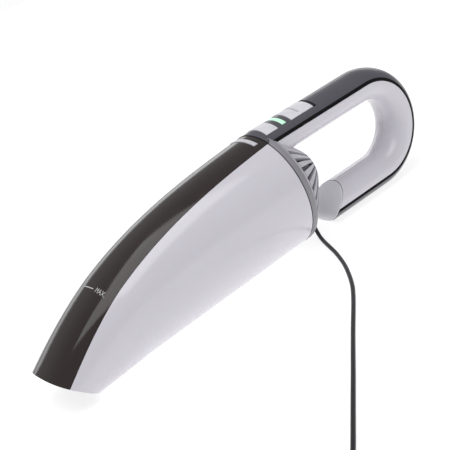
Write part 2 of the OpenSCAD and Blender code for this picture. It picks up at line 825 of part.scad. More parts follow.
module circuit_board() {
  color([0.1, 0.35, 0.2])
    span([root_x + 2, -12.5, board_z], [ring_x + 61, 12.5, board_top]);
  color([0.15, 0.15, 0.15]) {
    span([led_x - 5, -11, board_top], [led_x - 1, -6, board_top + 1.4]);
    span([slider_x + 2, 6, board_top], [slider_x + 8, 11, board_top + 1.6]);
    span([ring_x + 20, -6, board_z - 2.2], [ring_x + 29, 4, board_z]);
  }
  color([0.95, 1, 0.9])
    span([led_x + 0.8, -2, board_top], [led_x + led_len - 0.8, 2, board_top + 0.7]);
}

// ---------- cells and wiring ----------

cell_r = 9.1;
cell_len = 65;
upper_cell_x = ring_x + 66;
upper_cell_z = upper_z - 1.6;
lower_cell_x = ring_x + free_end_x + 15.6;
lower_cell_z = lower_z + 1.6;

module cell(x, z) {
  color([0.2, 0.45, 0.7])
    translate([x, 0, z]) rotate([0, 90, 0]) cylinder(h = cell_len, r = cell_r, $fn = 64);
  color([0.8, 0.8, 0.8])
    translate([x + cell_len, 0, z]) rotate([0, 90, 0]) cylinder(h = 0.8, r = 3, $fn = 32);
}

module upper_cell() {
  cell(upper_cell_x, upper_cell_z);
}

module lower_cell() {
  cell(lower_cell_x, lower_cell_z);
}

module cell_contacts() {
  color([0.8, 0.78, 0.7])
    for (place = [[upper_cell_x, upper_cell_z], [lower_cell_x, lower_cell_z]]) {
      span([place[0] - 0.45, -3.5, place[1] - 6], [place[0] - 0.05, 3.5, place[1] + 6]);
      span(
        [place[0] + cell_len + 0.85, -3.5, place[1] - 4],
        [place[0] + cell_len + 1.25, 3.5, place[1] + 4]
      );
    }
}

module wire_harness() {
  wire_r = 0.8;
  inner_bend = bend_r - 7;
  color([0.75, 0.1, 0.1])
    rod(concat(
      [[lower_cell_x + cell_len + 2.2, 4, lower_cell_z]],
      [for (a = [-44:11:44]) [arm_end_x + inner_bend * cos(a), 5, mid_z + inner_bend * sin(a)]],
      [[upper_cell_x + cell_len + 2.2, 4, upper_cell_z]]
    ), wire_r);
  color([0.1, 0.1, 0.1])
    rod([
      [upper_cell_x - 1.4, -5, upper_cell_z + 2], [ring_x + 60, -9, upper_cell_z - 2],
      [ring_x + 50, -9, upper_cell_z - 3], [ring_x + 40, -7, upper_cell_z - 2], [ring_x + 36, -6, board_z - 0.9]
    ], wire_r);
}

// ---------- fan and motor ----------

motor_x = 5.2;
fan_x = -8;
fan_w = 8.4;
shroud_r = ring_r - 12.1;
can_t = 1;

module fan_housing() {
  color([0.25, 0.25, 0.27])
    translate([ring_x, 0, axis_z])
      rotate([0, 90, 0])
        rotate_extrude($fn = 96)
          polygon([
            [13, -10.8], [shroud_r - 2, -10.8], [shroud_r, -8.8], [shroud_r, 2.3], [shroud_r - 1.8, 2.3],
            [shroud_r - 1.8, -8.2], [shroud_r - 2.4, -9.2], [13, -9.2]
          ]);
}

module fan_impeller() {
  color([0.85, 0.85, 0.85])
    difference() {
      union() {
        on_axis(fan_x + fan_w - 1.2, fan_x + fan_w, fan_r);
        on_axis(fan_x, fan_x + fan_w, 5);
        for (k = [0:blade_count - 1])
          translate([ring_x + fan_x + 0.4, 0, axis_z])
            rotate([360 * k / blade_count, 0, 0])
              translate([0, 12, 0])
                rotate([28, 0, 0]) cube([fan_w - 0.8, fan_r * 0.58, 1.1]);
        for (k = [0:blade_count - 1])
          translate([ring_x + fan_x + 0.4, 0, axis_z])
            rotate([360 * k / blade_count, 0, 0])
              translate([0, 4, 0])
                rotate([6, 0, 0]) cube([fan_w - 0.8, 9, 1.1]);
      }
      on_axis(fan_x - 1, fan_x + fan_w + 1, shaft_r);
    }
}

module motor_plate() {
  air_holes = 12;
  color([0.3, 0.3, 0.32])
    difference() {
      on_axis(2.4, 4.9, flange_r, 5.2);
      for (k = [0:air_holes - 1])
        rotate_on_axis(360 * (k + 0.5) / air_holes) translate([0, 27, 0]) x_hole(2, 3.4, 3.2);
      for (a = plate_screw_degs)
        rotate_on_axis(a) translate([0, screw_circle_r, 0]) {
          x_hole(2, 3.4, screw_r + 0.15);
          x_hole(1, 3.1, head_r + 0.3);
        }
      for (a = [0, 180]) rotate_on_axis(a) translate([0, 8, 0]) x_hole(2, 3.4, 1.3);
    }
}

// Turns children about the motor's axis, with x from the ring's front.
module rotate_on_axis(a) {
  translate([ring_x, 0, axis_z]) rotate([a, 0, 0]) children();
}

module x_hole(x, length, r) {
  translate([x, 0, 0]) rotate([0, 90, 0]) cylinder(h = length, r = r, $fn = 32);
}

module motor_can() {
  color([0.72, 0.72, 0.74])
    difference() {
      union() {
        on_axis(motor_x, motor_x + motor_len, motor_r, motor_r - can_t);
        on_axis(motor_x, motor_x + can_t, motor_r - 0.5, 3.4);
      }
      for (a = [0, 180]) rotate_on_axis(a) translate([0, 8, 0]) x_hole(motor_x - 1, 4, 1.25);
    }
}

module motor_end_cap() {
  color([0.9, 0.9, 0.86])
    on_axis(motor_x + motor_len - 2.5, motor_x + motor_len - 0.1, motor_r - can_t - 0.05, 3.4);
}

module motor_magnets() {
  inner_r = 10.6;
  color([0.35, 0.33, 0.33])
    difference() {
      on_axis(motor_x + 4, motor_x + motor_len - 6, motor_r - can_t - 0.05, inner_r);
      for (side = [-1, 1])
        span(
          [ring_x + motor_x, -30, axis_z + side * (inner_r + 1.5) - 5],
          [ring_x + motor_x + motor_len, 30, axis_z + side * (inner_r + 1.5) + 5]
        );
    }
}

module front_bushing() {
  color([0.72, 0.55, 0.3])
    on_axis(motor_x - 0.1, motor_x + 3.5, 3.35, shaft_r + run_gap);
}

module rear_bushing() {
  color([0.72, 0.55, 0.3])
    on_axis(motor_x + motor_len - 3.2, motor_x + motor_len, 3.35, shaft_r + run_gap);
}

module motor_shaft() {
  color([0.7, 0.7, 0.72])
    on_axis(fan_x - 0.6, motor_x + motor_len + 0.6, shaft_r);
}

module armature() {
  poles = 3;
  color([0.6, 0.35, 0.15])
    difference() {
      union() {
        on_axis(motor_x + 6, motor_x + motor_len - 9, 10);
        on_axis(motor_x + motor_len - 8.6, motor_x + motor_len - 4, 3.6);
        on_axis(motor_x + motor_len - 10, motor_x + motor_len - 8, 3);
      }
      for (k = [0:poles - 1])
        rotate_on_axis(360 * (k + 0.5) / poles)
          translate([motor_x + 5, 5.5, -1.2]) cube([motor_len - 13, 6, 2.4]);
      on_axis(motor_x, motor_x + motor_len, shaft_r);
    }
}

module motor_sleeve() {
  color([0.12, 0.12, 0.13])
    on_axis(motor_x + 8, motor_x + 20, motor_r + 1.8, motor_r);
}

module cap_screw(x, r_at, a, length, r) {
  rotate_on_axis(a)
    translate([x, r_at, 0])
      rotate([0, 90, 0]) {
        cylinder(h = length, r = r, $fn = 32);
        translate([0, 0, -1.6])
          difference() {
            cylinder(h = 1.6, r = 1.7 * r, $fn = 32);
            translate([0, 0, -0.1]) cylinder(h = 0.9, r = 0.8 * r, $fn = 6);
          }
      }
}

module motor_screws() {
  color([0.6, 0.6, 0.62])
    for (a = [0, 180]) cap_screw(2.4, 8, a, 3.6, 1.2);
}

module plate_screws() {
  color([0.6, 0.6, 0.62])
    for (a = plate_screw_degs) cap_screw(4.1, screw_circle_r, a, 9.3, screw_r);
}

// ---------- charging lead ----------

barrel_r = 2.75;
plug_r = 4.6;
plug_h = 9;
relief_from = 4;
relief_to = 17;
exit_h = 5.4;

module charge_jack() {
  color([0.1, 0.1, 0.11])
    at_jack()
      difference() {
        union() {
          translate([0, 0, -12]) cylinder(h = 12.4, r = 4.5, $fn = 48);
          cylinder(h = 0.8, r = 5.6, $fn = 48);
        }
        translate([0, 0, -9.5]) cylinder(h = 12, r = barrel_r + run_gap, $fn = 48);
      }
}

module charger_plug() {
  color([0.12, 0.12, 0.13])
    at_jack() {
      difference() {
        translate([0, 0, -9]) cylinder(h = 11, r = barrel_r, $fn = 48);
        translate([0, 0, -10]) cylinder(h = 9, r = 1.25, $fn = 32);
      }
      translate([0, 0, 0.9]) cylinder(h = plug_h, r = plug_r, $fn = 48);
    }
}

module strain_relief() {
  color([0.12, 0.12, 0.13])
    at_jack()
      difference() {
        translate([0, 0, exit_h])
          rotate([0, 90, 0])
            translate([0, 0, relief_from])
              difference() {
                cylinder(h = relief_to - relief_from, r1 = 3.3, r2 = cord_d / 2 + 0.5, $fn = 48);
                for (k = [1:3])
                  translate([0, 0, k * 2.7 + 0.6])
                    difference() {
                      cylinder(h = 0.9, r = 5, $fn = 32);
                      translate([0, 0, -0.5]) cylinder(h = 2, r = cord_d / 2 + 0.4, $fn = 32);
                    }
              }
        translate([0, 0, 0.5]) cylinder(h = plug_h + 1, r = plug_r + 0.02, $fn = 48);
      }
}

// The lead's route from the strain relief to the coil, chosen by hand.
lead_z = cord_d / 2;
cord_route = [
  [63, -2, 10.2], [62.2, -6, 8.7], [60.4, -10.4, 6.7], [57.6, -15.6, 4.4], [54.4, -22, 2.6],
  [50.6, -30.5, lead_z], [45, -44, lead_z], [37.8, -61, lead_z], [27, -82, lead_z], [16.6, -98.5, lead_z],
  [7.3, -111.6, lead_z], [-0.6, -121.2, lead_z], [-14.5, -136.2, lead_z], [-38.5, -161, lead_z],
  [-56.3, -179.7, lead_z], [-76, -200.5, lead_z], [-95.8, -221.2, lead_z], [-112, -238.2, lead_z],
  [-130, -257, lead_z], [-146, -273.6, lead_z], [-159, -286.6, lead_z + 0.4], [-172, -294.6, lead_z + 0.8]
];
adapter_route = [
  [-194, -293.4, 9.9], [-200, -293.4, 9.9], [-206, -293.8, 10], [-211.4, -295, 10.2], [-216, -296.6, 10.4],
  [-220, -299, 10.6], [-223, -301.6, 10.8], [-226, -306, 11]
];
coil_centre = [-182, -272];
coil_mid_r = 21;
tie_t = 0.8;

module charging_cord() {
  color([0.13, 0.13, 0.14]) rod(cord_route, cord_d / 2);
}

module adapter_lead() {
  color([0.13, 0.13, 0.14]) rod(adapter_route, cord_d / 2);
}

module cord_coil() {
  band = 1.5 * cord_d;
  color([0.13, 0.13, 0.14])
    translate([coil_centre[0], coil_centre[1], tie_t])
      rotate_extrude($fn = 64)
        translate([coil_mid_r - band, 0]) square([2 * band, 3 * cord_d]);
}

module cord_tie() {
  band = 1.5 * cord_d + 0.1;
  bulge = 0.6;
  color([0.05, 0.05, 0.05])
    translate([coil_centre[0], coil_centre[1] - 4, 0])
      translate([-coil_mid_r - band - tie_t, 0, 0])
        difference() {
          cube([2 * (band + tie_t) + bulge, 8, 3 * cord_d + 2 * tie_t + 0.1]);
          translate([tie_t, -1, tie_t - 0.05]) cube([2 * band + bulge, 10, 3 * cord_d + 0.15]);
        }
}

adapter_at = [-212, -322];
pin_r = 2;
pin_root_r = 1.6;
pin_pitch = 19;

module wall_adapter() {
  color([0.1, 0.1, 0.11])
    difference() {
      translate([adapter_at[0] - adapter_len / 2, adapter_at[1] - adapter_w / 2, 0])
        hull()
          for (x = [3, adapter_len - 3], y = [3, adapter_w - 3])
            translate([x, y, 0]) {
              translate([0, 0, 1]) cylinder(h = adapter_h - 2, r = 3, $fn = 32);
              cylinder(h = adapter_h, r = 2, $fn = 32);
            }
      for (side = [-1, 1])
        translate([adapter_at[0] - adapter_len / 2 - 1, adapter_at[1] + side * pin_pitch / 2, adapter_h / 2])
          rotate([0, 90, 0]) cylinder(h = 7, r = pin_root_r, $fn = 32);
    }
}

module adapter_pins() {
  pin_len = 19;
  tip = 0.8;
  neck = 0.4;
  color([0.8, 0.78, 0.7])
    for (side = [-1, 1])
      translate([adapter_at[0] - adapter_len / 2 - pin_len, adapter_at[1] + side * pin_pitch / 2, adapter_h / 2])
        rotate([0, 90, 0]) {
          cylinder(h = tip, r1 = pin_r - tip, r2 = pin_r, $fn = 32);
          translate([0, 0, tip]) cylinder(h = pin_len - tip - neck, r = pin_r, $fn = 32);
          translate([0, 0, pin_len / 2]) cylinder(h = pin_len / 2 + 6, r = pin_root_r, $fn = 32);
        }
}

// ---------- nodes ----------

cup_shell();
cup_window();
inlet_duct();
inlet_flap();
release_button();
latch_springs();
filter_basket();
filter_pleats();
filter_seal();
cup_seal();
front_ring();
vent_dome();
left_shell();
right_shell();
free_end_cap();
spine_cover();
power_slider();
mode_button();
mode_spring();
light_bar();
circuit_board();
slide_switch();
tact_switch();
upper_cell();
lower_cell();
cell_contacts();
wire_harness();
fan_housing();
fan_impeller();
motor_plate();
motor_can();
motor_end_cap();
motor_magnets();
front_bushing();
rear_bushing();
motor_shaft();
armature();
motor_sleeve();
motor_screws();
plate_screws();
shell_screws();
charge_jack();
charger_plug();
strain_relief();
charging_cord();
cord_coil();
adapter_lead();
cord_tie();
wall_adapter();
adapter_pins();
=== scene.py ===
"""Finished surfaces, materials, cord, light and camera for a cordless handheld vacuum.

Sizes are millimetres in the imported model's frame: the nozzle points along -X, the handle along +X,
+Z is up and the floor is z = 0. Meshes are scaled to metres when they are made.
"""

from __future__ import annotations

import json
import logging
import math
from dataclasses import dataclass, field
from enum import Enum
from typing import Any, Iterable, Sequence

import bmesh
import bpy
import numpy as np
from mathutils import Matrix

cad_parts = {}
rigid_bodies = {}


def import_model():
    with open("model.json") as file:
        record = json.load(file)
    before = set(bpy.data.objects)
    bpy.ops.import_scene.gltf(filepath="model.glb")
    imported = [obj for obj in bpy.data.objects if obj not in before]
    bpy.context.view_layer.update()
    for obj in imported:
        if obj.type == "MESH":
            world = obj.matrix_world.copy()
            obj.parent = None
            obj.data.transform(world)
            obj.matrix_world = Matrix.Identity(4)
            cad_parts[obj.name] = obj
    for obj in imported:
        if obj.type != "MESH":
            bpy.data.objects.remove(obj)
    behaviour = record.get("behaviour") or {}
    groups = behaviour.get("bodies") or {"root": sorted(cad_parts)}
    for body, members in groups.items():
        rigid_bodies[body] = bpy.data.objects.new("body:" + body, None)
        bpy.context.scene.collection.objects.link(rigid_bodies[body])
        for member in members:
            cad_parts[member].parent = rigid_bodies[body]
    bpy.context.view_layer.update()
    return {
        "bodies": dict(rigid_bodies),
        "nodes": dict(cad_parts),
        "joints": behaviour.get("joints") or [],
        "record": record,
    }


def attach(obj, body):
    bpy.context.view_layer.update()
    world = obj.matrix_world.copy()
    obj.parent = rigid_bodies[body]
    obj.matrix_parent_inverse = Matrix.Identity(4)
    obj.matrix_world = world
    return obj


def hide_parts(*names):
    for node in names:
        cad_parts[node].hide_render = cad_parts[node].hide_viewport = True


log = logging.getLogger("handheld_vacuum")
MM = 0.001
# Size of the handling marks in every finish.
MARK_MM = 6
Array = np.ndarray


class Body(Enum):
    """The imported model's moving bodies."""

    HOUSING = "housing"
    CUP = "dust_cup"
    FLAP = "flap"
    RELEASE = "release"
    FILTER = "filter"
    ROTOR = "rotor"
    SLIDER = "slider"
    MODE = "mode_key"


# ---------------------------------------------------------------- shader helpers


def linear(code: str) -> tuple[float, float, float, float]:
    """Turns an sRGB hex colour into linear RGBA.

    Args:
        code: Six hex digits, with or without a leading hash.

    Returns:
        Linear red, green, blue and an alpha of one.
    """
    code = code.lstrip("#")
    parts = [int(code[i : i + 2], 16) / 255 for i in (0, 2, 4)]
    low = [p / 12.92 if p <= 0.04045 else ((p + 0.055) / 1.055) ** 2.4 for p in parts]
    return (low[0], low[1], low[2], 1.0)


def add_node(tree: bpy.types.NodeTree, kind: str, inputs: dict[str, Any] | None = None, **settings: Any) -> Any:
    """Adds one shader node, with its settings and links.

    Args:
        tree: The material's node tree.
        kind: The node's type, such as ShaderNodeTexNoise.
        inputs: Input names or numbers with a value, or with a socket to link from.
        settings: Attributes of the node itself.

    Returns:
        The new node.
    """
    made = tree.nodes.new(kind)
    for key, value in settings.items():
        setattr(made, key, value)
    for key, value in (inputs or {}).items():
        socket = made.inputs[key]
        if isinstance(value, bpy.types.NodeSocket):
            tree.links.new(value, socket)
        else:
            socket.default_value = value
    return made


def noise(tree: bpy.types.NodeTree, vector: bpy.types.NodeSocket, size_mm: float, **inputs: float) -> Any:
    """Adds a noise texture with features of size_mm, and gives its grey output."""
    inputs = {"Vector": vector, "Scale": 1 / (size_mm * MM), **inputs}
    return add_node(tree, "ShaderNodeTexNoise", inputs).outputs["Fac"]


def remap(tree: bpy.types.NodeTree, value: Any, span: tuple[float, float], to: tuple[float, float]) -> Any:
    """Adds a clamped map from one range to another, and gives its output."""
    limits = {"From Min": span[0], "From Max": span[1], "To Min": to[0], "To Max": to[1]}
    return add_node(tree, "ShaderNodeMapRange", {"Value": value, **limits}).outputs[0]


@dataclass(frozen=True)
class Finish:
    """A material's look: base colour, gloss, grain and handling marks.

    The base colour wanders by shade over clouds of cloud_mm. Roughness runs between gloss and
    gloss + haze over the same clouds plus fine marks. The bump is noise of grain_mm, grain_depth_mm deep.
    """

    name: str
    colour: str
    shade_colour: str
    gloss: float
    haze: float
    grain_mm: float
    grain_depth_mm: float
    cloud_mm: float = 40.0
    metallic: float = 0.0
    ior: float = 1.5
    coat: float = 0.0
    coat_roughness: float = 0.05
    transmission: float = 0.0
    subsurface: float = 0.0
    glow: float = 0.0
    brushed: tuple[float, float, float] = (1.0, 1.0, 1.0)

    def material(self) -> bpy.types.Material:
        """Builds the material, or returns the one already built."""
        ready = bpy.data.materials.get(self.name)
        if ready:
            return ready
        made = bpy.data.materials.new(self.name)
        made.use_nodes = True
        tree = made.node_tree
        tree.nodes.clear()
        where = add_node(tree, "ShaderNodeTexCoord").outputs["Object"]
        stretched = add_node(tree, "ShaderNodeMapping", {"Vector": where, "Scale": self.brushed}).outputs[0]
        clouds = noise(tree, where, self.cloud_mm, Detail=3.0)
        grain = noise(tree, stretched, self.grain_mm, Detail=2.0, Roughness=0.6)
        marks = noise(tree, where, MARK_MM, Detail=5.0, Distortion=1.4)
        rubbed = remap(tree, marks, (0.52, 0.74), (0.0, 0.35))
        worn = add_node(tree, "ShaderNodeMath", {0: clouds, 1: rubbed}, operation="ADD").outputs[0]
        rough = remap(tree, worn, (0.3, 0.95), (self.gloss, self.gloss + self.haze))
        shades = {"Factor": clouds, 6: linear(self.colour), 7: linear(self.shade_colour)}
        colour = add_node(tree, "ShaderNodeMix", shades, data_type="RGBA").outputs[2]
        height = {"Height": grain, "Distance": self.grain_depth_mm * MM, "Strength": 1.0}
        bump = add_node(tree, "ShaderNodeBump", height).outputs[0]
        shader = add_node(
            tree,
            "ShaderNodeBsdfPrincipled",
            {
                "Base Color": colour,
                "Roughness": rough,
                "Metallic": self.metallic,
                "Normal": bump,
                "Coat Weight": self.coat,
                "Coat Roughness": self.coat_roughness,
                "Transmission Weight": self.transmission,
                "Subsurface Weight": self.subsurface,
                "Subsurface Scale": 2 * MM,
            },
        )
        if not self.metallic:
            shader.inputs["IOR"].default_value = self.ior
        if self.glow:
            shader.inputs["Emission Color"].default_value = linear(self.colour)
            shader.inputs["Emission Strength"].default_value = self.glow
        add_node(tree, "ShaderNodeOutputMaterial", {"Surface": shader.outputs[0]})
        return made


# Injection-moulded ABS from a polished mould: a clean soft box reflection, faintly rippled by the flow.
WHITE_ABS = Finish("abs_polished_white", "#d9d6dd", "#dedbe2", 0.16, 0.1, 9.0, 0.012, subsurface=0.04, coat=0.2)
# Smoked styrene-acrylonitrile, see-through in thin light: brown-black depth and a hard gloss.
SMOKED_SAN = Finish("san_smoked_window", "#322a27", "#3a3230", 0.09, 0.09, 12.0, 0.01, ior=1.42, transmission=0.12)
# Dark pigmented ABS, half gloss: the upper face shines; the near black of its sides is painted shade on the cover's rim
# piece.
DARK_ABS = Finish("abs_satin_graphite", "#54535a", "#59585f", 0.27, 0.05, 9.0, 0.004, ior=1.5)
# The same ABS on the cover's rim, left unpolished and painted near black: painted shade of the cover's side walls.
RIM_PAINTED_SHADE = Finish("abs_rim_painted_shade", "#09090b", "#0c0c0e", 0.5, 0.1, 0.8, 0.01, ior=1.22)
# Metallic-flake grey ABS ring, a soft mould texture that dulls its highlights.
GREY_ABS = Finish("abs_flake_grey", "#8d8b90", "#959399", 0.34, 0.14, 0.5, 0.02)
# Pale grey ABS of the vented dome, the same fine spark-eroded texture, a shade lighter.
PALE_ABS = Finish("abs_spark_eroded_pale", "#bab8be", "#c2c0c7", 0.38, 0.14, 0.5, 0.02)
# The cap on the handle's free end: satin ABS painted pale and lighter than the shell, as painted light against the
# dome's shadow.
CAP_PAINTED_LIGHT = Finish("abs_satin_cap_painted_light", "#e0dfe4", "#e6e5ea", 0.32, 0.12, 0.6, 0.012)
# White ABS keys, satin from the mould so that fingers do not mark them.
KEY_ABS = Finish("abs_satin_key", "#e2e1e7", "#e7e6eb", 0.36, 0.12, 0.6, 0.01, subsurface=0.04)
# Light grey ABS release key.
RELEASE_ABS = Finish("abs_satin_release", "#d2d1d7", "#d8d7dc", 0.26, 0.12, 0.6, 0.01)
# Milky polycarbonate light guide, lit green from inside.
LIGHT_GUIDE = Finish("polycarbonate_lit_green", "#b6ecca", "#c6f3d6", 0.25, 0.1, 1.2, 0.01, glow=0.4)
# Glass-filled nylon inside the machine: dull black with a dry surface.
BLACK_NYLON = Finish("nylon_glass_filled", "#19191b", "#222225", 0.5, 0.2, 0.4, 0.03)
# Soft nitrile seals and boots: matt black.
SEAL_RUBBER = Finish("nitrile_rubber", "#101011", "#1a1a1c", 0.62, 0.2, 0.35, 0.03)
# Flexible PVC sheath of the lead: black with a slight extruded sheen.
CORD_PVC = Finish("pvc_sheath", "#17171a", "#1f1f22", 0.38, 0.16, 1.0, 0.02)
# Black moulded polycarbonate of the mains adapter, finely textured.
ADAPTER_PC = Finish("polycarbonate_textured_black", "#141416", "#1c1c1f", 0.42, 0.18, 0.5, 0.03)
# Resin-bonded filter paper: warm white with a fibrous surface.
FILTER_PAPER = Finish("filter_paper", "#e4dfd2", "#d6d0c1", 0.8, 0.15, 0.3, 0.06, brushed=(0.2, 1.0, 1.0))
# Bright zinc plate on steel: crystalline clouds over a soft metal shine.
ZINC_STEEL = Finish("steel_zinc_plated", "#a8abb0", "#bcbec2", 0.28, 0.2, 0.6, 0.01, cloud_mm=4.0, metallic=1.0)
# Nickel plate on brass contacts and pins.
NICKEL = Finish("brass_nickel_plated", "#c2bdb0", "#cfcabd", 0.16, 0.14, 0.6, 0.006, cloud_mm=6.0, metallic=1.0)
# Oil-soaked sintered bronze: porous and dull.
BRONZE = Finish("bronze_sintered", "#8a6236", "#9c7342", 0.42, 0.2, 0.25, 0.04, cloud_mm=3.0, metallic=1.0)
# Enamelled copper winding over laminations: red-brown and glossy, wound across the axis.
COPPER = Finish("copper_enamelled", "#8a3f1c", "#a04f26", 0.22, 0.15, 0.5, 0.1, metallic=0.8, brushed=(1.0, 0.15, 0.15))
# Pressed ferrite: dark grey ceramic.
FERRITE = Finish("ferrite_pressed", "#2c2a2b", "#363435", 0.55, 0.2, 0.5, 0.03)
# Green solder mask over a glass laminate.
SOLDER_MASK = Finish("solder_mask_green", "#12502c", "#1a6136", 0.2, 0.15, 0.8, 0.015)
# Blue shrink wrap drawn tight over the steel cells.
CELL_WRAP = Finish("pvc_shrink_blue", "#1c4f8f", "#245da2", 0.24, 0.16, 5.0, 0.03)
# Red silicone wire.
WIRE_SILICONE = Finish("silicone_wire_red", "#8c1414", "#9c1c1c", 0.5, 0.15, 0.6, 0.02)
# Screen-printed white ink: flat and slightly raised.
PRINT_INK = Finish("screen_ink_white", "#c9c7c6", "#d4d2d0", 0.5, 0.1, 0.4, 0.005)


# ---------------------------------------------------------------- mesh helpers


def grid_faces(rows: int, cols: int, close_rows: bool = False, close_cols: bool = False) -> Array:
    """Quads between neighbouring points of a grid, where point (i, j) is number i * cols + j.

    Args:
        rows: Number of rows.
        cols: Number of points in a row.
        close_rows: Joins the last row back to the first.
        close_cols: Joins each row's end back to its start.

    Returns:
        Face corners, four to a row.
    """
    i = np.arange(rows if close_rows else rows - 1)[:, None]
    j = np.arange(cols if close_cols else cols - 1)[None, :]
    i2, j2 = (i + 1) % rows, (j + 1) % cols
    corners = [i * cols + j, i * cols + j2, i2 * cols + j2, i2 * cols + j]
    return np.stack([np.broadcast_to(c, (i.size, j.size)) for c in corners], -1).reshape(-1, 4)


def signed_power(v: Array, e: Array | float) -> Array:
    """The size of v to the power e, with v's sign."""
    return np.sign(v) * np.abs(v) ** e


@dataclass
class Piece:
    """One finished piece of the visual model, built in millimetres.

    Attributes:
        name: The object's name.
        body: The body that it rides on.
        slot: The record's material slot; not used.
        finish: Its material.
        replaces: CAD nodes that it stands for.
    """

    name: str
    body: Body
    slot: str
    finish: Finish
    replaces: tuple[str, ...] = ()
    parts: list[tuple[Array, list[tuple[int, ...]]]] = field(default_factory=list)

    def add_part(self, points: Array, faces: Iterable[Sequence[int]]) -> "Piece":
        """Adds a closed or open surface to the piece's mesh.

        Args:
            points: Vertices in millimetres, of any grid shape that ends in 3.
            faces: Vertex numbers of each face.

        Returns:
            The piece itself.
        """
        self.parts.append((np.asarray(points, float).reshape(-1, 3), [tuple(map(int, f)) for f in faces]))
        return self

    def solid_grid(self, loops: Array) -> "Piece":
        """Adds a closed solid: a row of closed loops with a flat cap on the first and on the last.

        Args:
            loops: Points of shape (loops, points in a loop, 3).

        Returns:
            The piece itself.
        """
        rows, cols = loops.shape[:2]
        faces = [tuple(f) for f in grid_faces(rows, cols, close_cols=True)]
        faces.append(tuple(range(cols - 1, -1, -1)))
        faces.append(tuple((rows - 1) * cols + k for k in range(cols)))
        return self.add_part(loops, faces)

    def skinned(self, outer: Array, inner: Array, round_section: bool = False) -> "Piece":
        """Adds a closed wall between an outer and an inner grid of the same shape.

        Args:
            outer: Points of shape (rows, columns, 3).
            inner: The same points on the wall's other side.
            round_section: True where each row closes on itself.

        Returns:
            The piece itself.
        """
        rows, cols = outer.shape[:2]
        faces = grid_faces(rows, cols, close_cols=round_section)
        shift = rows * cols
        number = np.arange(shift).reshape(rows, cols)
        rims = [number[0, ::-1], number[-1]]
        if round_section:
            rims = [np.append(rim, rim[:1]) for rim in rims]
        else:
            rims += [number[:, 0], number[::-1, -1]]
        walls = [np.stack([rim[:-1], rim[1:], rim[1:] + shift, rim[:-1] + shift], -1) for rim in rims]
        every = np.vstack([faces, faces[:, ::-1] + shift, *walls])
        points = np.vstack([outer.reshape(-1, 3), inner.reshape(-1, 3)])
        a, b, c, d = (points[every[:, k]] for k in range(4))
        inside_out = np.sum(a * np.cross(b, c) + a * np.cross(c, d)) < 0
        return self.add_part(points, every[:, ::-1] if inside_out else every)

    def joined(self) -> bpy.types.Object:
        """Makes one mesh object of all the parts."""
        starts = np.cumsum([0] + [len(points) for points, _ in self.parts]).tolist()
        faces = [tuple(v + start for v in f) for start, (_, part) in zip(starts, self.parts) for f in part]
        return mesh_object(self.name, np.vstack([points for points, _ in self.parts]) * MM, faces)

    def build(
        self,
        wall: float = 0.0,
        bevel: float = 0.0,
        cutters: Sequence["Piece"] = (),
        angle: float = 35.0,
        flip: bool = False,
    ) -> bpy.types.Object:
        """Makes the object: mesh, wall, cuts, rounded edges, material and body.

        Args:
            wall: Thickness given inwards to an open surface.
            bevel: Radius of the rounded edges.
            cutters: Pieces whose shapes are cut away.
            angle: Edges sharper than this many degrees stay sharp and are bevelled.
            flip: Turns the faces round first.

        Returns:
            The finished object.
        """
        obj = self.joined()
        if flip:
            obj.data.flip_normals()
        if wall:
            solid = obj.modifiers.new("wall", "SOLIDIFY")
            solid.thickness, solid.offset, solid.use_even_offset = wall * MM, -1.0, True
            solid.use_quality_normals = True
            settle(obj)
        for cutter in cutters:
            cut(obj, cutter)
        return finish_object(obj, self, bevel, angle)


def linked(name: str, data: bpy.types.ID | None) -> bpy.types.Object:
    """Makes an object of some data and links it to the scene."""
    obj = bpy.data.objects.new(name, data)
    bpy.context.scene.collection.objects.link(obj)
    return obj


def turned(obj: bpy.types.Object, axes: Sequence[Sequence[float]], at: Sequence[float]) -> None:
    """Stands an object at a point in metres, with its three axes along the given directions."""
    turn = np.eye(4)
    turn[:3, :3], turn[:3, 3] = np.array(axes).T, at
    obj.matrix_world = Matrix(turn.tolist())


def dress(data: bpy.types.ID, finish: Finish) -> None:
    """Gives a mesh or curve one finish."""
    data.materials.clear()
    data.materials.append(finish.material())


def mesh_object(name: str, points: Array, faces: Sequence[Sequence[int]]) -> bpy.types.Object:
    """Makes a linked mesh object from points in metres."""
    mesh = bpy.data.meshes.new(name)
    mesh.from_pydata(points.tolist(), [], [list(f) for f in faces])
    mesh.validate()
    return linked(name, mesh)


def settle(obj: bpy.types.Object) -> None:
    """Replaces an object's mesh with the result of its modifiers."""
    bpy.context.view_layer.update()
    graph = bpy.context.evaluated_depsgraph_get()
    made = bpy.data.meshes.new_from_object(obj.evaluated_get(graph))
    made.name = obj.name
    old = obj.data
    obj.modifiers.clear()
    obj.data = made
    bpy.data.meshes.remove(old)


def cut(obj: bpy.types.Object, cutter: Piece) -> None:
    """Cuts a piece's shape out of an object."""
    tool = cutter.joined()
    made = obj.modifiers.new("cut", "BOOLEAN")
    made.operation, made.object, made.solver = "DIFFERENCE", tool, "EXACT"
    settle(obj)
    mesh = tool.data
    bpy.data.objects.remove(tool)
    bpy.data.meshes.remove(mesh)


def finish_object(obj: bpy.types.Object, piece: Piece, bevel: float, angle: float) -> bpy.types.Object:
    """Rounds, smooths, dresses and places an object on its body.

    Args:
        obj: The mesh object.
        piece: Its name, body, finish and the nodes it replaces.
        bevel: Radius of the rounded edges in millimetres.
        angle: Edges sharper than this many degrees are edges, others are smooth.

    Returns:
        The same object.
    """
    obj.data.shade_smooth()
    if bevel:
        rounded = obj.modifiers.new("rounded", "BEVEL")
        rounded.width, rounded.segments = bevel * MM, 2
        rounded.limit_method, rounded.angle_limit = "ANGLE", math.radians(angle)
        rounded.harden_normals = True
        settle(obj)
    else:
        obj.data.set_sharp_from_angle(angle=math.radians(angle))
    dress(obj.data, piece.finish)
    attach(obj, piece.body.value)
    if piece.replaces:
        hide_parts(*piece.replaces)
    log.info("%s: %d faces on %s", obj.name, len(obj.data.polygons), piece.body.value)
    return obj


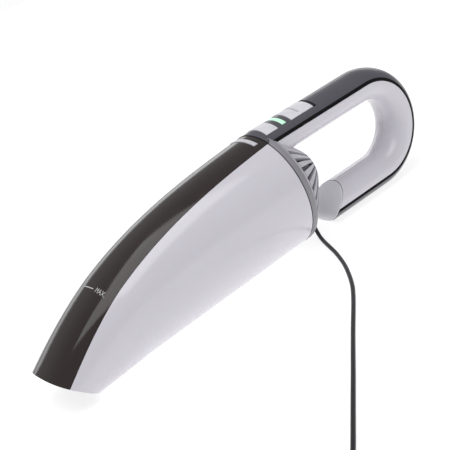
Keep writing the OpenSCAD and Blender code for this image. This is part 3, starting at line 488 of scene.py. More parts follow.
def refined(frame: dict, node: str, piece: Piece, bevel: float = 0.2, angle: float = 30.0) -> bpy.types.Object:
    """Copies a CAD node, merges its loose triangles and gives it rounded, smooth-shaded edges.

    Args:
        node: The CAD node to copy.
        piece: Name, body and finish of the copy.
        bevel: Edge radius in millimetres.
        angle: Edges sharper than this stay edges.

    Returns:
        The finished copy, which replaces the node.
    """
    work = bmesh.new()
    work.from_mesh(frame["nodes"][node].data)
    bmesh.ops.remove_doubles(work, verts=work.verts, dist=2e-6)
    bmesh.ops.dissolve_limit(
        work, angle_limit=math.radians(1.0), verts=work.verts, edges=work.edges, use_dissolve_boundaries=False
    )
    mesh = bpy.data.meshes.new(piece.name)
    work.to_mesh(mesh)
    work.free()
    piece.replaces = (node,)
    return finish_object(linked(piece.name, mesh), piece, bevel, angle)


def box_loops(low: Sequence[float], high: Sequence[float]) -> Array:
    """The two square loops of a box, for Piece.solid_grid."""
    (x0, y0, z0), (x1, y1, z1) = low, high
    ring = [(x0, y0), (x1, y0), (x1, y1), (x0, y1)]
    return np.array([[(x, y, z) for x, y in ring] for z in (z0, z1)], float)


def box_cutter(low: Sequence[float], high: Sequence[float]) -> Piece:
    """A box to cut away, given by two opposite corners."""
    tool = Piece("cutter", Body.HOUSING, "", WHITE_ABS)
    return tool.solid_grid(box_loops(low, high))


# ---------------------------------------------------------------- sizes shared by the sub-assemblies


@dataclass(frozen=True)
class Layout:
    """Overall sizes, the same as the CAD source's."""

    cup_len: float = 243.0
    cup_r: float = 50.5
    cup_wall: float = 2.2
    nose_half_w: float = 32.4
    nose_top_z: float = 29.0
    top_fall: float = 19.6
    mouth_lean: float = 1.1
    nose_square: float = 2.6
    window_rear_w: float = 23.3
    window_front_w: float = 30.0
    axis_z: float = 53.3
    ring_r: float = 50.7
    ring_w: float = 5.0
    dome_len: float = 36.0
    dome_tip_r: float = 15.5
    arm_half_h: float = 14.4
    arm_half_w: float = 20.4
    arm_pitch: float = 76.6
    arm_len: float = 112.2
    loop_lean: float = 0.1
    free_end_x: float = 47.8
    free_end_lean: float = 1.1
    free_end_round: float = 0.048
    arm_wall: float = 2.4
    spine_half_w: float = 18.8
    flare_half_w: float = 23.3
    button_half_w: float = 14.3
    gap: float = 0.35

    @property
    def bend_r(self) -> float:
        """Radius of the loop's bend at the middle of the section."""
        return self.arm_pitch / 2

    @property
    def ring_x(self) -> float:
        """Where the ring's front face stands."""
        return (self.cup_len - self.arm_len - self.bend_r - self.arm_half_h) / 2

    @property
    def lower_z(self) -> float:
        """Height of the lower arm's middle."""
        return self.arm_half_h

    @property
    def upper_z(self) -> float:
        """Height of the upper arm's middle."""
        return self.lower_z + self.arm_pitch

    @property
    def mid_z(self) -> float:
        """Height of the bend's centre."""
        return (self.lower_z + self.upper_z) / 2

    @property
    def arm_end_x(self) -> float:
        """Where the arms turn into the bend."""
        return self.ring_x + self.arm_len


SIZE = Layout()


# ---------------------------------------------------------------- dust cup


@dataclass
class DustCup:
    """The clip-off cup: white shell, smoked window, mouth duct, flap, release key and the fill mark."""

    start: float = 0.9
    rows: int = 150
    release_x: float = -9.5
    release_len: float = 4.0
    release_half_w: float = 17.4
    seam: float = 0.16
    seat_h: float = 42.4
    shelf_y: float = 12.5
    duct_wall: float = 1.6
    duct_len: float = 168.0
    duct_half: tuple[float, float] = (24.0, 9.5)
    duct_z: float = 17.0
    mark_s: float = 178.0
    mark_y: tuple[float, float] = (10.3, -5.4)
    mark_half: float = 0.35
    word_y: float = -8.6
    word_size: float = 5.3
    word_drop: float = 1.6
    print_lift: float = 0.04

    def half_width(self, u: Array) -> Array:
        """The section's half-width at a share u of the cup's length."""
        return SIZE.nose_half_w + (SIZE.cup_r - SIZE.nose_half_w) * (1 - u**1.3)

    def squareness(self, u: Array) -> Array:
        """The superellipse's power at a share u of the cup's length: 2 is round."""
        return 2 + (SIZE.nose_square - 2) * u

    def point(self, s: Array, t: Array, inset: Array | float = 0.0) -> Array:
        """A point of the cup's section: a superellipse whose size, height and squareness change along s.

        The half-width falls as s^1.3, the top falls evenly plus a cubic, the bottom line drops evenly,
        and the last third of the length leans forwards at the top.

        Args:
            s: Distance in front of the ring.
            t: Angle in radians from +Y towards +Z.
            inset: Distance inwards from the outer skin.

        Returns:
            Points of shape (..., 3).
        """
        z = SIZE
        u = s / z.cup_len
        half = self.half_width(u)
        top0 = z.axis_z + z.cup_r
        top = top0 - z.top_fall * u - (top0 - z.top_fall - z.nose_top_z) * u**3
        low = (z.axis_z - z.cup_r) * (1 - u)
        e = 2 / self.squareness(u)
        height = (top + low) / 2 + ((top - low) / 2 - inset) * signed_power(np.sin(t), e)
        lean = z.mouth_lean * np.maximum(0, (u - 0.7) / 0.3)
        x = z.ring_x - s + lean * (top - height)
        return np.stack([x, (half - inset) * signed_power(np.cos(t), e), height], -1)

    def window_edge(self, s: Array) -> Array:
        """Angle at which the window's straight-sided edge crosses the section at s."""
        z = SIZE
        u = s / z.cup_len
        wide = z.window_rear_w + (z.window_front_w - z.window_rear_w) * u
        return np.arccos((wide / self.half_width(u)) ** (self.squareness(u) / 2))

    def skin(self, window: bool, cols: int, inset: float = 0.0) -> Array:
        """The outer skin's grid of the window, or of the shell that takes up the rest of the section.

        Args:
            window: True for the window, False for the shell.
            cols: Points across.
            inset: Distance inwards.

        Returns:
            Points of shape (rows, cols, 3).
        """
        s = self.start + (SIZE.cup_len - self.start) * np.linspace(0, 1, self.rows) ** 0.92
        edge = self.window_edge(s)
        joint = self.seam / SIZE.cup_r
        a = edge + joint if window else math.pi - edge + joint
        b = math.pi - edge - joint if window else 2 * math.pi + edge - joint
        t = a[:, None] + (b - a)[:, None] * np.linspace(0, 1, cols)[None, :]
        return self.point(s[:, None], t, inset)

    def shell(self) -> bpy.types.Object:
        """The white shell: sides, floor and the lower half of the nozzle."""
        piece = Piece("cup_shell_moulding", Body.CUP, "white_shell", WHITE_ABS, ("cup_shell",))
        piece.skinned(self.skin(False, 170), self.skin(False, 170, SIZE.cup_wall))
        return piece.build(bevel=0.28, angle=45)

    def window(self) -> bpy.types.Object:
        """The smoked window along the top, with the release key's opening cut through."""
        z = SIZE
        piece = Piece("smoked_window", Body.CUP, "smoked_window", SMOKED_SAN, ("cup_window",))
        piece.skinned(self.skin(True, 70), self.skin(True, 70, z.cup_wall))
        x = z.ring_x + self.release_x
        half = self.release_half_w + z.gap
        opening = box_cutter((x - z.gap, -half, z.axis_z + 30), (x + self.release_len + z.gap, half, z.axis_z + 60))
        return piece.build(bevel=0.28, cutters=[opening], angle=45)

    def seat_shelves(self) -> bpy.types.Object:
        """Two small brackets under the window that carry the release key's springs."""
        z = SIZE
        seat, top = z.axis_z + self.seat_h, z.axis_z + z.cup_r - 3.4
        front = z.ring_x - 11.6
        piece = Piece("spring_shelves", Body.CUP, "smoked_window", SMOKED_SAN)
        for y in (-self.shelf_y, self.shelf_y):
            piece.solid_grid(box_loops((front, y - 2, seat - 0.8), (z.ring_x - 5.4, y + 2, seat)))
            piece.solid_grid(box_loops((front, y - 2, seat - 0.8), (z.ring_x - 10.6, y + 2, top)))
        return piece.build(bevel=0.15)

    def duct(self) -> bpy.types.Object:
        """The inlet duct: the mouth's section blended along its length into a level oval."""
        z = SIZE
        v = np.linspace(1, 0, 48)[:, None]
        t = np.linspace(0, 2 * np.pi, 112, endpoint=False)[None, :]
        e = 2 / z.nose_square
        ease = (1 - np.cos(np.pi * v)) / 2
        mix = np.stack([v + 0 * t, ease + 0 * t, ease + 0 * t], -1)
        skins = []
        for inset in (0, self.duct_wall):
            mouth = self.point(np.full_like(t, z.cup_len - 1), t, z.cup_wall + 0.15 + inset)
            wide, high = (half - inset for half in self.duct_half)
            x = np.full_like(t, z.ring_x - self.duct_len)
            y, height = wide * signed_power(np.cos(t), e), self.duct_z + high * signed_power(np.sin(t), e)
            oval = np.stack([x, y, height], -1)
            skins.append(mouth + (oval - mouth) * mix)
        piece = Piece("inlet_duct_moulding", Body.CUP, "dark_plastic", BLACK_NYLON, ("inlet_duct",))
        piece.skinned(*skins, round_section=True)
        return piece.build(bevel=0.3, angle=45)

    def fill_mark(self) -> list[bpy.types.Object]:
        """The printed fill line and the word beside it, laid on the window's curve."""
        made = []
        y, rows = np.meshgrid(np.linspace(*self.mark_y, 24), (-self.mark_half, self.mark_half))
        line = self.on_window(self.mark_s + rows, y, self.print_lift)
        piece = Piece("fill_line_print", Body.CUP, "button_white", PRINT_INK)
        piece.add_part(line, grid_faces(*line.shape[:2]))
        made.append(piece.build(flip=True))
        text = bpy.data.curves.new("fill_word", "FONT")
        text.body, text.size, text.extrude = "MAX.", self.word_size, 0.0
        text.resolution_u = 3
        obj = linked("fill_word_print", text)
        bpy.context.view_layer.update()
        mesh = bpy.data.meshes.new_from_object(obj.evaluated_get(bpy.context.evaluated_depsgraph_get()))
        bpy.data.objects.remove(obj)
        flat = np.zeros(len(mesh.vertices) * 3, np.float32)
        mesh.vertices.foreach_get("co", flat)
        flat = flat.reshape(-1, 3)
        along = self.mark_s + self.word_drop - flat[:, 1]
        placed = self.on_window(along, self.word_y - flat[:, 0], self.print_lift) * MM
        mesh.vertices.foreach_set("co", placed.astype(np.float32).ravel())
        mesh.update()
        word = linked("fill_word_print", mesh)
        made.append(finish_object(word, Piece("fill_word_print", Body.CUP, "button_white", PRINT_INK), 0, 35))
        return made

    def on_window(self, s: Array, y: Array, lift: float) -> Array:
        """Points lift above the window's skin at length s and offset y, worked out from the section."""
        u = s / SIZE.cup_len
        e = 2 / self.squareness(u)
        t = np.arccos(np.clip(signed_power(y / self.half_width(u), 1 / e), -1, 1))
        return self.point(s, t, -lift)

    def build(self, frame: dict) -> None:
        """Builds every piece of the cup."""
        self.shell()
        self.window()
        self.seat_shelves()
        self.duct()
        self.fill_mark()
        refined(frame, "inlet_flap", Piece("flap_rubber", Body.FLAP, "seal_rubber", SEAL_RUBBER), 0.3)
        key = Piece("release_key", Body.RELEASE, "grey_plastic", RELEASE_ABS)
        refined(frame, "release_button", key, 0.5)


# ---------------------------------------------------------------- ring and vent dome


@dataclass
class RingAndDome:
    """The grey ring and the pale dome whose radial fins let the air out."""

    slots: int = 32
    slot_deg: float = 5.2
    slot_start: float = 4.3
    fin_depth: float = 5.2
    solid_from_top: float = 38.0
    solid_at_jack: float = 14.0
    jack_deg: float = 20.0
    rim_step: float = 1.4
    fall: float = 1.12
    belt_t: float = 3.2
    spigot_x: tuple[float, float] = (2.5, 5.6)
    spigot_r: tuple[float, float] = (45.2, 47.9)

    def radius(self, x: Array) -> Array:
        """The dome's outer radius, which falls from the ring as x^1.12 to its flat tip."""
        z = SIZE
        return z.dome_tip_r + (z.ring_r - self.rim_step - z.dome_tip_r) * (1 - (x / z.dome_len) ** self.fall)

    def revolve(self, profile: Array, start: float = 0.0, stop: float = 360.0, count: int = 180) -> Array:
        """Carries a profile of (x, radius) round the motor's axis, with angles from +Y towards +Z.

        Returns:
            Loops of shape (angles, profile points, 3).
        """
        z = SIZE
        a = np.radians(np.linspace(start, stop, count, endpoint=abs(stop - start) < 360))[:, None]
        x, r = profile[None, :, 0], profile[None, :, 1]
        return np.stack([z.ring_x + x + 0 * a, r * np.cos(a), z.axis_z + r * np.sin(a)], -1)

    def sector(self, piece: Piece, start: float, stop: float, profile: Array, count: int) -> None:
        """Adds a closed slice of the dome between two angles, with flat sides."""
        piece.solid_grid(self.revolve(profile, start, stop, count)[::-1])

    def closed(self, piece: Piece, loops: Array) -> None:
        """Adds a full turn of a closed profile."""
        piece.add_part(loops, grid_faces(*loops.shape[:2], close_rows=True, close_cols=True))

    def wall_profile(self, x_from: float, x_to: float, depth: float, steps: int = 26) -> Array:
        """The wall's closed outline between two lengths: the outer curve out, and a curve depth inside it back."""
        x = np.linspace(x_from, x_to, steps)
        z = SIZE
        outer = np.stack([z.ring_w + x, self.radius(x)], -1)
        # The rear shoulder is rounded over.
        outer[-1, 1] -= 1.2
        outer[-2, 1] -= 0.35
        inner = np.stack([z.ring_w + np.minimum(x, z.dome_len - 2.4), self.radius(x) - depth], -1)
        return np.vstack([outer, inner[::-1]])

    def dome(self) -> bpy.types.Object:
        """The dome: a plain belt by the ring, fins between the slots, plain areas and a hub."""
        z = SIZE
        piece = Piece("vent_dome_moulding", Body.HOUSING, "dome_plastic", PALE_ABS, ("vent_dome",))
        belt = self.revolve(self.wall_profile(0, self.slot_start, self.belt_t, 8))
        self.closed(piece, belt)
        pitch, half = 360 / self.slots, self.slot_deg / 2
        open_slots = []
        for k in range(self.slots):
            a = 90 + pitch * k
            from_top = min(a - 90, 450 - a)
            from_jack = abs(a - 270 - self.jack_deg)
            if from_top > self.solid_from_top and from_jack > self.solid_at_jack:
                open_slots.append(a)
        fin = self.wall_profile(self.slot_start - 0.5, z.dome_len, self.fin_depth)
        for i, a in enumerate(open_slots):
            after = open_slots[(i + 1) % len(open_slots)] + (360 if i + 1 == len(open_slots) else 0)
            width = after - a - 2 * half
            self.sector(piece, a + half, after - half, fin, max(4, int(width / 1.5)))
        hub_r = z.dome_tip_r - 2
        x = z.ring_w + z.dome_len
        hub = np.array([(x, 0.01), (x, hub_r + 1.0), (x - 0.5, hub_r + 1.4), (x - 3, hub_r + 1.2), (x - 3, 0.01)])
        self.closed(piece, self.revolve(hub, count=96))
        (x0, x1), (r0, r1) = self.spigot_x, self.spigot_r
        self.closed(piece, self.revolve(np.array([(x0, r0), (x0, r1), (x1, r1), (x1, r0)])))
        return piece.build(bevel=0.0, angle=32)

    def build(self, frame: dict) -> None:
        """Builds the ring and the dome."""
        self.dome()
        refined(frame, "front_ring", Piece("ring_band", Body.HOUSING, "grey_plastic", GREY_ABS), 0.35)


# ---------------------------------------------------------------- loop handle


@dataclass
class LoopHandle:
    """The loop: two white shells, the dark cover on its outside, keys and the light bar."""

    straight: int = 40
    bend: int = 64
    cover_t: float = 2.2
    skirt: float = 3.05
    cover_seat: float = 2.9
    seam_half: float = 0.06
    swell_len: float = 24.0
    swell_mm: float = 7.5
    swell_pinch: float = 0.1
    cap_shrink: float = 0.5
    cap_depths: tuple[float, float] = (0.05, 1.25)
    mode_at: float = 7.2
    mode_len: float = 12.6
    light_at: float = 25.4
    light_len: float = 4.5
    slider_at: float = 34.6
    slider_len: float = 28.0
    flare_from: float = 0.8
    rim_out: float = 0.3
    rim_turn_deg: float = 2.5
    rim_under: float = 0.15

    def stations(self, x_from: float) -> Array:
        """Stations along the handle's middle line: x, z, outward x, outward z and the lean of the section.

        The line runs straight back, round a half circle that leans by loop_lean, and forwards to the free end.

        Args:
            x_from: Where the upper arm starts.

        Returns:
            Rows of five numbers.
        """
        z = SIZE
        upper_x = z.arm_end_x + z.loop_lean * z.bend_r
        lower_x = z.arm_end_x - z.loop_lean * z.bend_r
        n = self.straight
        k = np.linspace(0, 1, n)
        one, nil = np.ones(n), np.zeros(n)
        top = np.stack([x_from + (upper_x - x_from) * k, z.upper_z * one, nil, one, nil], 1)
        a = np.radians(np.linspace(90, -90, self.bend + 2)[1:-1])
        tx, tz = -np.sin(a) + z.loop_lean * np.cos(a), np.cos(a)
        norm = np.hypot(tx, tz)
        turn = np.stack(
            [
                z.arm_end_x + z.bend_r * (np.cos(a) + z.loop_lean * np.sin(a)),
                z.mid_z + z.bend_r * np.sin(a),
                tz / norm,
                -tx / norm,
                0 * a,
            ],
            1,
        )
        low = np.stack(
            [lower_x + (z.ring_x + z.free_end_x - lower_x) * k, z.lower_z * one, nil, -one, z.free_end_lean * k], 1
        )
        return np.vstack([top, turn, low])

    def place(self, stations: Array, across: Array, out: Array) -> Array:
        """Points of the section: across along Y, out away from the loop's inside, leaned with height.

        Returns:
            Points of shape (stations, section points, 3).
        """
        s = stations[:, None, :]
        height = s[..., 1] + out * s[..., 3]
        x = s[..., 0] + out * s[..., 2] + s[..., 4] * self.end_shift(height - SIZE.lower_z)
        return np.stack([x, across + 0 * x, height], -1)

    def end_shift(self, h: Array) -> Array:
        """How far the free end's face stands back at a height h; its lower half curves upright."""
        return h + SIZE.free_end_round * np.minimum(0, h) ** 2

    def root_flare(self, stations: Array, start: Array) -> Array:
        """How far the upper arm's underside is drawn down by the dome: a smooth swell over its first part."""
        near = np.clip(1 - (stations[:, 0] - SIZE.ring_x - SIZE.ring_w) / self.swell_len, 0, 1) * start
        return near**2 * (3 - 2 * near)

    def shell(self, side: int) -> bpy.types.Object:
        """One half of the handle: a half ellipse carried along the loop, closed at the free end.

        Args:
            side: -1 for the -Y half, 1 for the +Y half.

        Returns:
            The half's object.
        """
        z = SIZE
        st = self.stations(z.ring_x + z.ring_w + 0.2)
        a = np.linspace(math.acos(self.cover_seat / z.arm_half_h) + 0.017, math.pi, 40)
        across = side * np.maximum(self.seam_half, z.arm_half_w * np.sin(a))[None, :]
        out = (z.arm_half_h * np.cos(a))[None, :] * np.ones((len(st), 1))
        upper = (np.arange(len(st)) < self.straight).astype(float)
        swell = self.root_flare(st, upper)[:, None]
        under = np.clip(-out / z.arm_half_h, 0, 1)
        out = out - self.swell_mm * swell * under
        grid = self.place(st, across * (1 - self.swell_pinch * np.sin(np.pi * swell) * under), out)
        name = "right_handle_shell" if side > 0 else "left_handle_shell"
        node = "right_shell" if side > 0 else "left_shell"
        piece = Piece(name, Body.HOUSING, "white_shell", WHITE_ABS, (node,))
        piece.add_part(grid, grid_faces(*grid.shape[:2]))
        return piece.build(wall=z.arm_wall, bevel=0.3, angle=45, flip=side > 0)

    def end_cap(self) -> bpy.types.Object:
        """The cap on the free end, painted pale as painted light against the dome's shadow: a thin oval that follows
        the slanted face.
        """
        z = SIZE
        t = np.linspace(0, 2 * np.pi, 120, endpoint=False)
        loops = []
        y, h = (z.arm_half_w - self.cap_shrink) * np.cos(t), (z.arm_half_h - self.cap_shrink) * np.sin(t)
        for depth in self.cap_depths:
            x = z.ring_x + z.free_end_x + z.free_end_lean * self.end_shift(h) - depth
            loops.append(np.stack([x, y, z.lower_z + h], -1))
        # The cap's pale colour is painted light against the dome's shadow.
        piece = Piece("free_end_cap_painted_light_moulding", Body.HOUSING, "dome_plastic", CAP_PAINTED_LIGHT, ("free_end_cap",))
        piece.parts.append(self.oval_solid(loops))
        return piece.build(bevel=0.3, flip=True)

    def oval_solid(self, loops: list[Array]) -> tuple[Array, list[tuple[int, ...]]]:
        """A thin solid between two loops, each filled with strips straight across.

        Args:
            loops: The front loop and the back loop, with the same number of points.

        Returns:
            Points and faces, for Piece.parts.
        """
        n = len(loops[0])
        faces: list[tuple[int, ...]] = []
        first = n // 4
        for k in range(n // 2):
            corners = ((first - k) % n, (first - k - 1) % n, (first + k + 1) % n, (first + k) % n)
            front = tuple(dict.fromkeys(corners))
            faces += [front[::-1], tuple(v + n for v in front)]
        faces += [(k, (k + 1) % n, n + (k + 1) % n, n + k) for k in range(n)]
        return np.vstack(loops), faces

    def cover_grid(self, stations: Array, share: Array, inset: float) -> Array:
        """The cover's arc at a depth, which takes the cup's round shape over the ring's width.

        Args:
            stations: Where along the handle.
            share: Places across the arc, from -1 to 1.
            inset: Depth under the outer face.

        Returns:
            Points of shape (stations, places, 3).
        """
        z = SIZE
        a = math.asin(z.spine_half_w / z.arm_half_w) * share[None, :]
        arm = self.place(stations, (z.arm_half_w - inset) * np.sin(a), (z.arm_half_h - inset) * np.cos(a))
        turn = math.asin(z.flare_half_w / z.ring_r) * share[None, :]
        r = z.ring_r - inset
        ring = np.stack(np.broadcast_arrays(stations[:, :1], r * np.sin(turn), z.axis_z + r * np.cos(turn)), -1)
        return arm + (ring - arm) * self.flare(stations)[:, None, None]

    def flare(self, stations: Array) -> Array:
        """How far the cover takes the cup's round shape: 1 at the ring's front, 0 behind the ring."""
        z = SIZE
        upper = (stations[:, 1] > z.mid_z) & (stations[:, 3] == 1)
        return np.clip((z.ring_x + z.ring_w - stations[:, 0]) / (z.ring_w - self.flare_from), 0, 1) * upper

    def cover_stations(self) -> Array:
        """Stations of the cover, close together over the ring's width."""
        z = SIZE
        near = np.linspace(z.ring_x + self.flare_from, z.ring_x + z.ring_w, 10)[:-1]
        front = np.stack([near, 0 * near + z.upper_z, 0 * near, 0 * near + 1, 0 * near], 1)
        return np.vstack([front, self.stations(z.ring_x + z.ring_w)])

    def cover(self) -> bpy.types.Object:
        """The dark cover's face: the outer third of the ellipse, cut for the keys and the light."""
        z = SIZE
        st = self.cover_stations()
        share = np.linspace(-1, 1, 46)
        piece = Piece("spine_cover_moulding", Body.HOUSING, "dark_cover", DARK_ABS, ("spine_cover",))
        piece.skinned(self.cover_grid(st, share, 0), self.cover_grid(st, share, self.cover_t))
        low, high, wide = z.upper_z, z.upper_z + 30, z.button_half_w
        slots = (
            (self.mode_at - z.gap, self.mode_at + self.mode_len + z.gap, wide + z.gap),
            (self.slider_at - z.gap, self.slider_at + self.slider_len + z.gap, wide + z.gap),
            (self.light_at - 0.1, self.light_at + self.light_len, wide - 0.7),
        )
        tools = [box_cutter((z.ring_x + x0, -y, low), (z.ring_x + x1, y, high)) for x0, x1, y in slots]
        return piece.build(bevel=0.25, cutters=tools, angle=42)

    def cover_rim(self) -> bpy.types.Object:
        """The cover's rim, painted near black as painted shade: a low straight wall along both of its edges."""
        z = SIZE
        st = self.cover_stations()[2:]
        lip = z.arm_half_h * math.cos(math.asin(z.spine_half_w / z.arm_half_w))
        # The rim's near-black finish is painted shade of the cover's side walls.
        piece = Piece("spine_cover_painted_shade_rim", Body.HOUSING, "dark_cover", RIM_PAINTED_SHADE)
        flare = self.flare(st)[:, None, None]
        for side in (-1, 1):
            walls = []
            for inset, turn_deg in ((0.0, 0.0), (self.cover_t, self.rim_turn_deg)):
                wide = z.spine_half_w - inset
                across = side * np.array([[wide + self.rim_out, wide + 0.05]])
                out = np.array([[self.skirt, lip - 0.1]])
                arm = self.place(st, across, out)
                a = side * (math.asin(z.flare_half_w / z.ring_r) - math.radians(turn_deg))
                r = z.ring_r - self.rim_under - np.array([self.cover_t, 0])
                ring = np.stack(np.broadcast_arrays(st[:, :1], r * math.sin(a), z.axis_z + r * math.cos(a)), -1)
                walls.append(arm + (ring - arm) * flare)
            outer, inner = walls if side < 0 else walls[::-1]
            piece.skinned(outer, inner)
        return piece.build(bevel=0.2, angle=42)

    def build(self, frame: dict) -> None:
        """Builds the handle with its keys and light."""
        self.shell(-1)
        self.shell(1)
        self.end_cap()
        self.cover()
        self.cover_rim()
        refined(frame, "power_slider", Piece("power_key", Body.SLIDER, "button_white", KEY_ABS), 0.35)
        refined(frame, "mode_button", Piece("mode_key_cap", Body.MODE, "button_white", KEY_ABS), 0.35)
        refined(frame, "light_bar", Piece("light_guide_bar", Body.HOUSING, "light_guide", LIGHT_GUIDE), 0.4)


# ---------------------------------------------------------------- charging lead


@dataclass
class ChargingLead:
    """The lead: from the plug's boot over the floor to a neat coil and on to the mains adapter."""

    diameter: float = 3.4
    length_m: float = 1.5
    coil_centre: tuple[float, float] = (-182.0, -272.0)
    coil_mid_r: float = 21.0
    tie_z: float = 0.8
    turns: int = 8
    per_turn: int = 30
    step_share: float = 0.22
    entry_share: float = 0.12
    entry_out: float = 2.0
    first_deg: float = -50.0
    extra_turn: float = 0.125
    tail: tuple[tuple[float, float, float], ...] = (
        (-194, -293.4, 9.9),
        (-206, -293.8, 10.0),
        (-216, -296.6, 10.4),
        (-223, -301.6, 10.8),
        (-226, -306, 11),
    )
    # Laid one by one: down from the boot, over the floor and into the coil.
    route: tuple[tuple[float, float, float], ...] = (
        (63, -2, 10.2), (62.2, -6, 8.7), (60.4, -10.4, 6.7), (57.6, -15.6, 4.4),
        (54.4, -22, 2.6), (50.6, -30.5, 1.75), (45, -44, 1.7), (37.8, -61, 1.7),
        (27, -82, 1.7), (16.6, -98.5, 1.7), (7.3, -111.6, 1.7), (-0.6, -121.2, 1.7),
        (-14.5, -136.2, 1.7), (-38.5, -161, 1.7), (-56.3, -179.7, 1.7), (-76, -200.5, 1.7),
        (-95.8, -221.2, 1.7), (-112, -238.2, 1.7), (-130, -257, 1.7), (-144, -270.6, 1.7),
    )

    def smooth(self, points: Array, step: float) -> Array:
        """A Catmull-Rom line through points, sampled evenly about every step millimetres."""
        ext = np.vstack([2 * points[0] - points[1], points, 2 * points[-1] - points[-2]])
        p0, p1, p2, p3 = ext[:-3], ext[1:-2], ext[2:-1], ext[3:]
        t = np.linspace(0, 1, 12, endpoint=False)[None, :, None]
        p0, p1, p2, p3 = (p[:, None, :] for p in (p0, p1, p2, p3))
        line = 0.5 * (
            2 * p1 + (p2 - p0) * t + (2 * p0 - 5 * p1 + 4 * p2 - p3) * t**2 + (3 * p1 - p0 - 3 * p2 + p3) * t**3
        )
        line = np.vstack([line.reshape(-1, 3), points[-1:]])
        far = np.concatenate([[0], np.cumsum(np.linalg.norm(np.diff(line, axis=0), axis=1))])
        at = np.linspace(0, far[-1], max(4, int(far[-1] / step)))
        return np.stack([np.interp(at, far, line[:, k]) for k in range(3)], -1)

    def coil(self) -> Array:
        """The wound turns: a clockwise circle whose radius and height step by a diameter at each turn's end.

        Three turns lie side by side in a layer, and each layer runs back over the one below.
        """
        d = self.diameter * 1.005
        lanes = np.array([1, 0, -1, -1, 0, 1, 1, 0], float)
        layers = np.array([0, 0, 0, 1, 1, 1, 2, 2], float)
        u = np.arange(self.turns * self.per_turn + 1) / self.per_turn
        turn = np.minimum(u.astype(int), self.turns - 1)
        after = np.minimum(turn + 1, self.turns - 1)
        ease = np.clip((u - turn - 1 + self.step_share) / self.step_share, 0, 1)
        ease = ease**2 * (3 - 2 * ease)
        radius = self.coil_mid_r + d * (lanes[turn] + (lanes[after] - lanes[turn]) * ease)
        height = self.tie_z + d / 2 + d * (layers[turn] + (layers[after] - layers[turn]) * ease)
        entry = np.clip(1 - u / self.entry_share, 0, 1)
        radius = radius + self.entry_out * entry**2
        a = np.radians(self.first_deg - 360 * u * (self.turns + self.extra_turn) / self.turns)
        cx, cy = self.coil_centre
        return np.stack([cx + radius * np.cos(a), cy + radius * np.sin(a), height], -1)

    def path(self) -> Array:
        """The whole centreline in millimetres: the visible run, the coil and the tail to the adapter."""
        coil = self.coil()
        head = np.vstack([np.array(self.route), coil[:1]])
        tail = np.vstack([coil[-1:], self.tail])
        return np.vstack([self.smooth(head, 6.0)[:-1], coil[:-1], self.smooth(tail, 6.0)])

    def build(self, frame: dict) -> None:
        """Builds the lead as one curve and dresses the pieces on it."""
        line = self.path()
        length = float(np.linalg.norm(np.diff(line, axis=0), axis=1).sum()) * MM
        log.info("lead: %.3f m along its centreline, %d points", length, len(line))
        curve = bpy.data.curves.new("charging_lead", "CURVE")
        curve.dimensions = "3D"
        curve.bevel_depth = self.diameter / 2 * MM
        curve.bevel_resolution = 4
        curve.use_fill_caps = True
        spline = curve.splines.new("POLY")
        spline.points.add(len(line) - 1)
        flat = np.hstack([line * MM, np.ones((len(line), 1))])
        spline.points.foreach_set("co", flat.ravel())
        spline.use_smooth = True
        obj = linked("charging_lead", curve)
        dress(curve, CORD_PVC)
        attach(obj, Body.HOUSING.value)
        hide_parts("charging_cord", "cord_coil", "adapter_lead")
        dressed = (
            ("charger_plug", "barrel_plug", "cord_black", CORD_PVC, 0.6),
            ("strain_relief", "plug_boot", "cord_black", SEAL_RUBBER, 0.15),
            ("cord_tie", "hook_loop_tie", "seal_rubber", SEAL_RUBBER, 0.2),
            ("wall_adapter", "mains_adapter", "adapter_black", ADAPTER_PC, 0.5),
            ("adapter_pins", "mains_pins", "plated", NICKEL, 0.6),
        )
        on_it = [
            refined(frame, node, Piece(name, Body.HOUSING, slot, finish), bevel)
            for node, name, slot, finish, bevel in dressed
        ]


# ---------------------------------------------------------------- inner parts


@dataclass
class InnerParts:
    """The nodes inside the machine, which keep their CAD shape and get their real materials."""

    finishes: tuple[tuple[Finish, str], ...] = (
        (ZINC_STEEL, "latch_springs mode_spring motor_can motor_shaft motor_screws plate_screws shell_screws"),
        (BLACK_NYLON, "filter_basket slide_switch tact_switch fan_housing motor_plate motor_end_cap charge_jack"),
        (FILTER_PAPER, "filter_pleats"),
        (SEAL_RUBBER, "filter_seal cup_seal motor_sleeve"),
        (SOLDER_MASK, "circuit_board"),
        (CELL_WRAP, "upper_cell lower_cell"),
        (NICKEL, "cell_contacts"),
        (WIRE_SILICONE, "wire_harness"),
        (GREY_ABS, "fan_impeller"),
        (FERRITE, "motor_magnets"),
        (BRONZE, "front_bushing rear_bushing"),
        (COPPER, "armature"),
    )

    def build(self, frame: dict) -> None:
        """Dresses each inner node."""
        for finish, names in self.finishes:
            for name in names.split():
                dress(frame["nodes"][name].data, finish)
                log.info("%s: %s", name, finish.name)


# ---------------------------------------------------------------- stage, light and camera


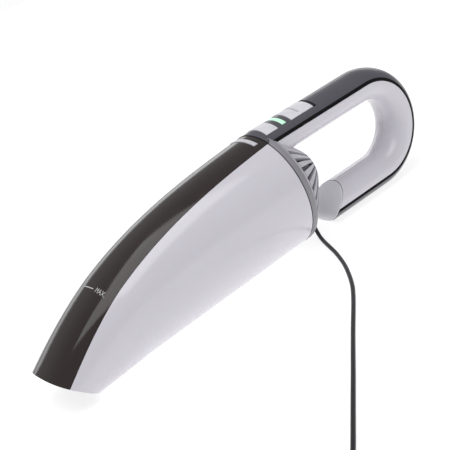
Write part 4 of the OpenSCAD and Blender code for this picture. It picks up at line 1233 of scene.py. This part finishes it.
@dataclass
class Studio:
    """The pale floor, the soft lights and the camera."""

    camera_at: tuple[float, float, float] = (-373.4, -674.7, 342.5)
    right: tuple[float, float, float] = (0.7491, -0.5564, -0.3596)
    up: tuple[float, float, float] = (0.4951, 0.1095, 0.8619)
    back: tuple[float, float, float] = (-0.4402, -0.8237, 0.3575)
    focal_px: float = 1012.43
    frame_px: float = 450.0
    sensor_mm: float = 36.0

    def floor(self) -> None:
        """A wide pale sweep of paper with its own faint light, so that it stays white under the soft boxes."""
        half = 6.0
        corners = np.array([(-half, -half, 0), (half, -half, 0), (half, half, 0), (-half, half, 0)])
        obj = mesh_object("floor", corners, [(0, 1, 2, 3)])
        paper = bpy.data.materials.new("paper_sweep")
        paper.use_nodes = True
        shader = paper.node_tree.nodes["Principled BSDF"]
        shader.inputs["Base Color"].default_value = linear("#a2a2a3")
        shader.inputs["Roughness"].default_value = 0.9
        shader.inputs["Emission Color"].default_value = (1, 1, 1, 1)
        shader.inputs["Emission Strength"].default_value = 0.82
        obj.data.materials.append(paper)

    def area(
        self, name: str, at: Sequence[float], aim: Sequence[float], size: tuple[float, float], power: float
    ) -> None:
        """A soft box.

        Args:
            name: The light's name.
            at: Where it stands, in metres.
            aim: The point that it faces.
            size: Its width and height in metres.
            power: Its power in watts.
        """
        data = bpy.data.lights.new(name, "AREA")
        data.shape, data.size, data.size_y, data.energy = "RECTANGLE", size[0], size[1], power
        away = np.array(at, float) - np.array(aim, float)
        away /= np.linalg.norm(away)
        side = np.cross((0.0, 0.0, 1.0), away)
        side = side / np.linalg.norm(side) if np.linalg.norm(side) > 1e-6 else np.array((1.0, 0.0, 0.0))
        turned(linked(name, data), (side, np.cross(away, side), away), at)

    def lights(self) -> None:
        """An even surround, one large overhead box and a long low strip behind."""
        world = bpy.data.worlds.new("studio")
        bpy.context.scene.world = world
        world.use_nodes = True
        back = world.node_tree.nodes["Background"]
        back.inputs["Color"].default_value = linear("#f2f2f6")
        back.inputs["Strength"].default_value = 0.42
        self.area("overhead_box", (-0.2, -0.1, 1.6), (0, 0, 0), (1.6, 1.2), 15)
        self.area("rear_panel", (1.1, 2.6, 0.62), (0, 0, 0.1), (4.6, 0.7), 14)

    def camera(self) -> None:
        """The camera, from its place, its three axes and its focal length in widths of the frame."""
        data = bpy.data.cameras.new("camera")
        data.sensor_width = self.sensor_mm
        data.lens = self.focal_px / self.frame_px * self.sensor_mm
        data.clip_start, data.clip_end = 0.02, 30
        obj = linked("camera", data)
        turned(obj, (self.right, self.up, self.back), np.array(self.camera_at) * MM)
        bpy.context.scene.camera = obj

    def build(self) -> None:
        """Sets up the floor, the lights, the camera and a plain tone curve."""
        self.floor()
        self.lights()
        self.camera()
        bpy.context.scene.view_settings.view_transform = "Standard"


def main() -> None:
    """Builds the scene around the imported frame, piece by piece."""
    logging.basicConfig(level=logging.INFO, format="%(name)s: %(message)s")
    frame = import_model()
    Studio().build()
    ChargingLead().build(frame)
    InnerParts().build(frame)
    DustCup().build(frame)
    RingAndDome().build(frame)
    LoopHandle().build(frame)


if __name__ == "__main__":
    main()
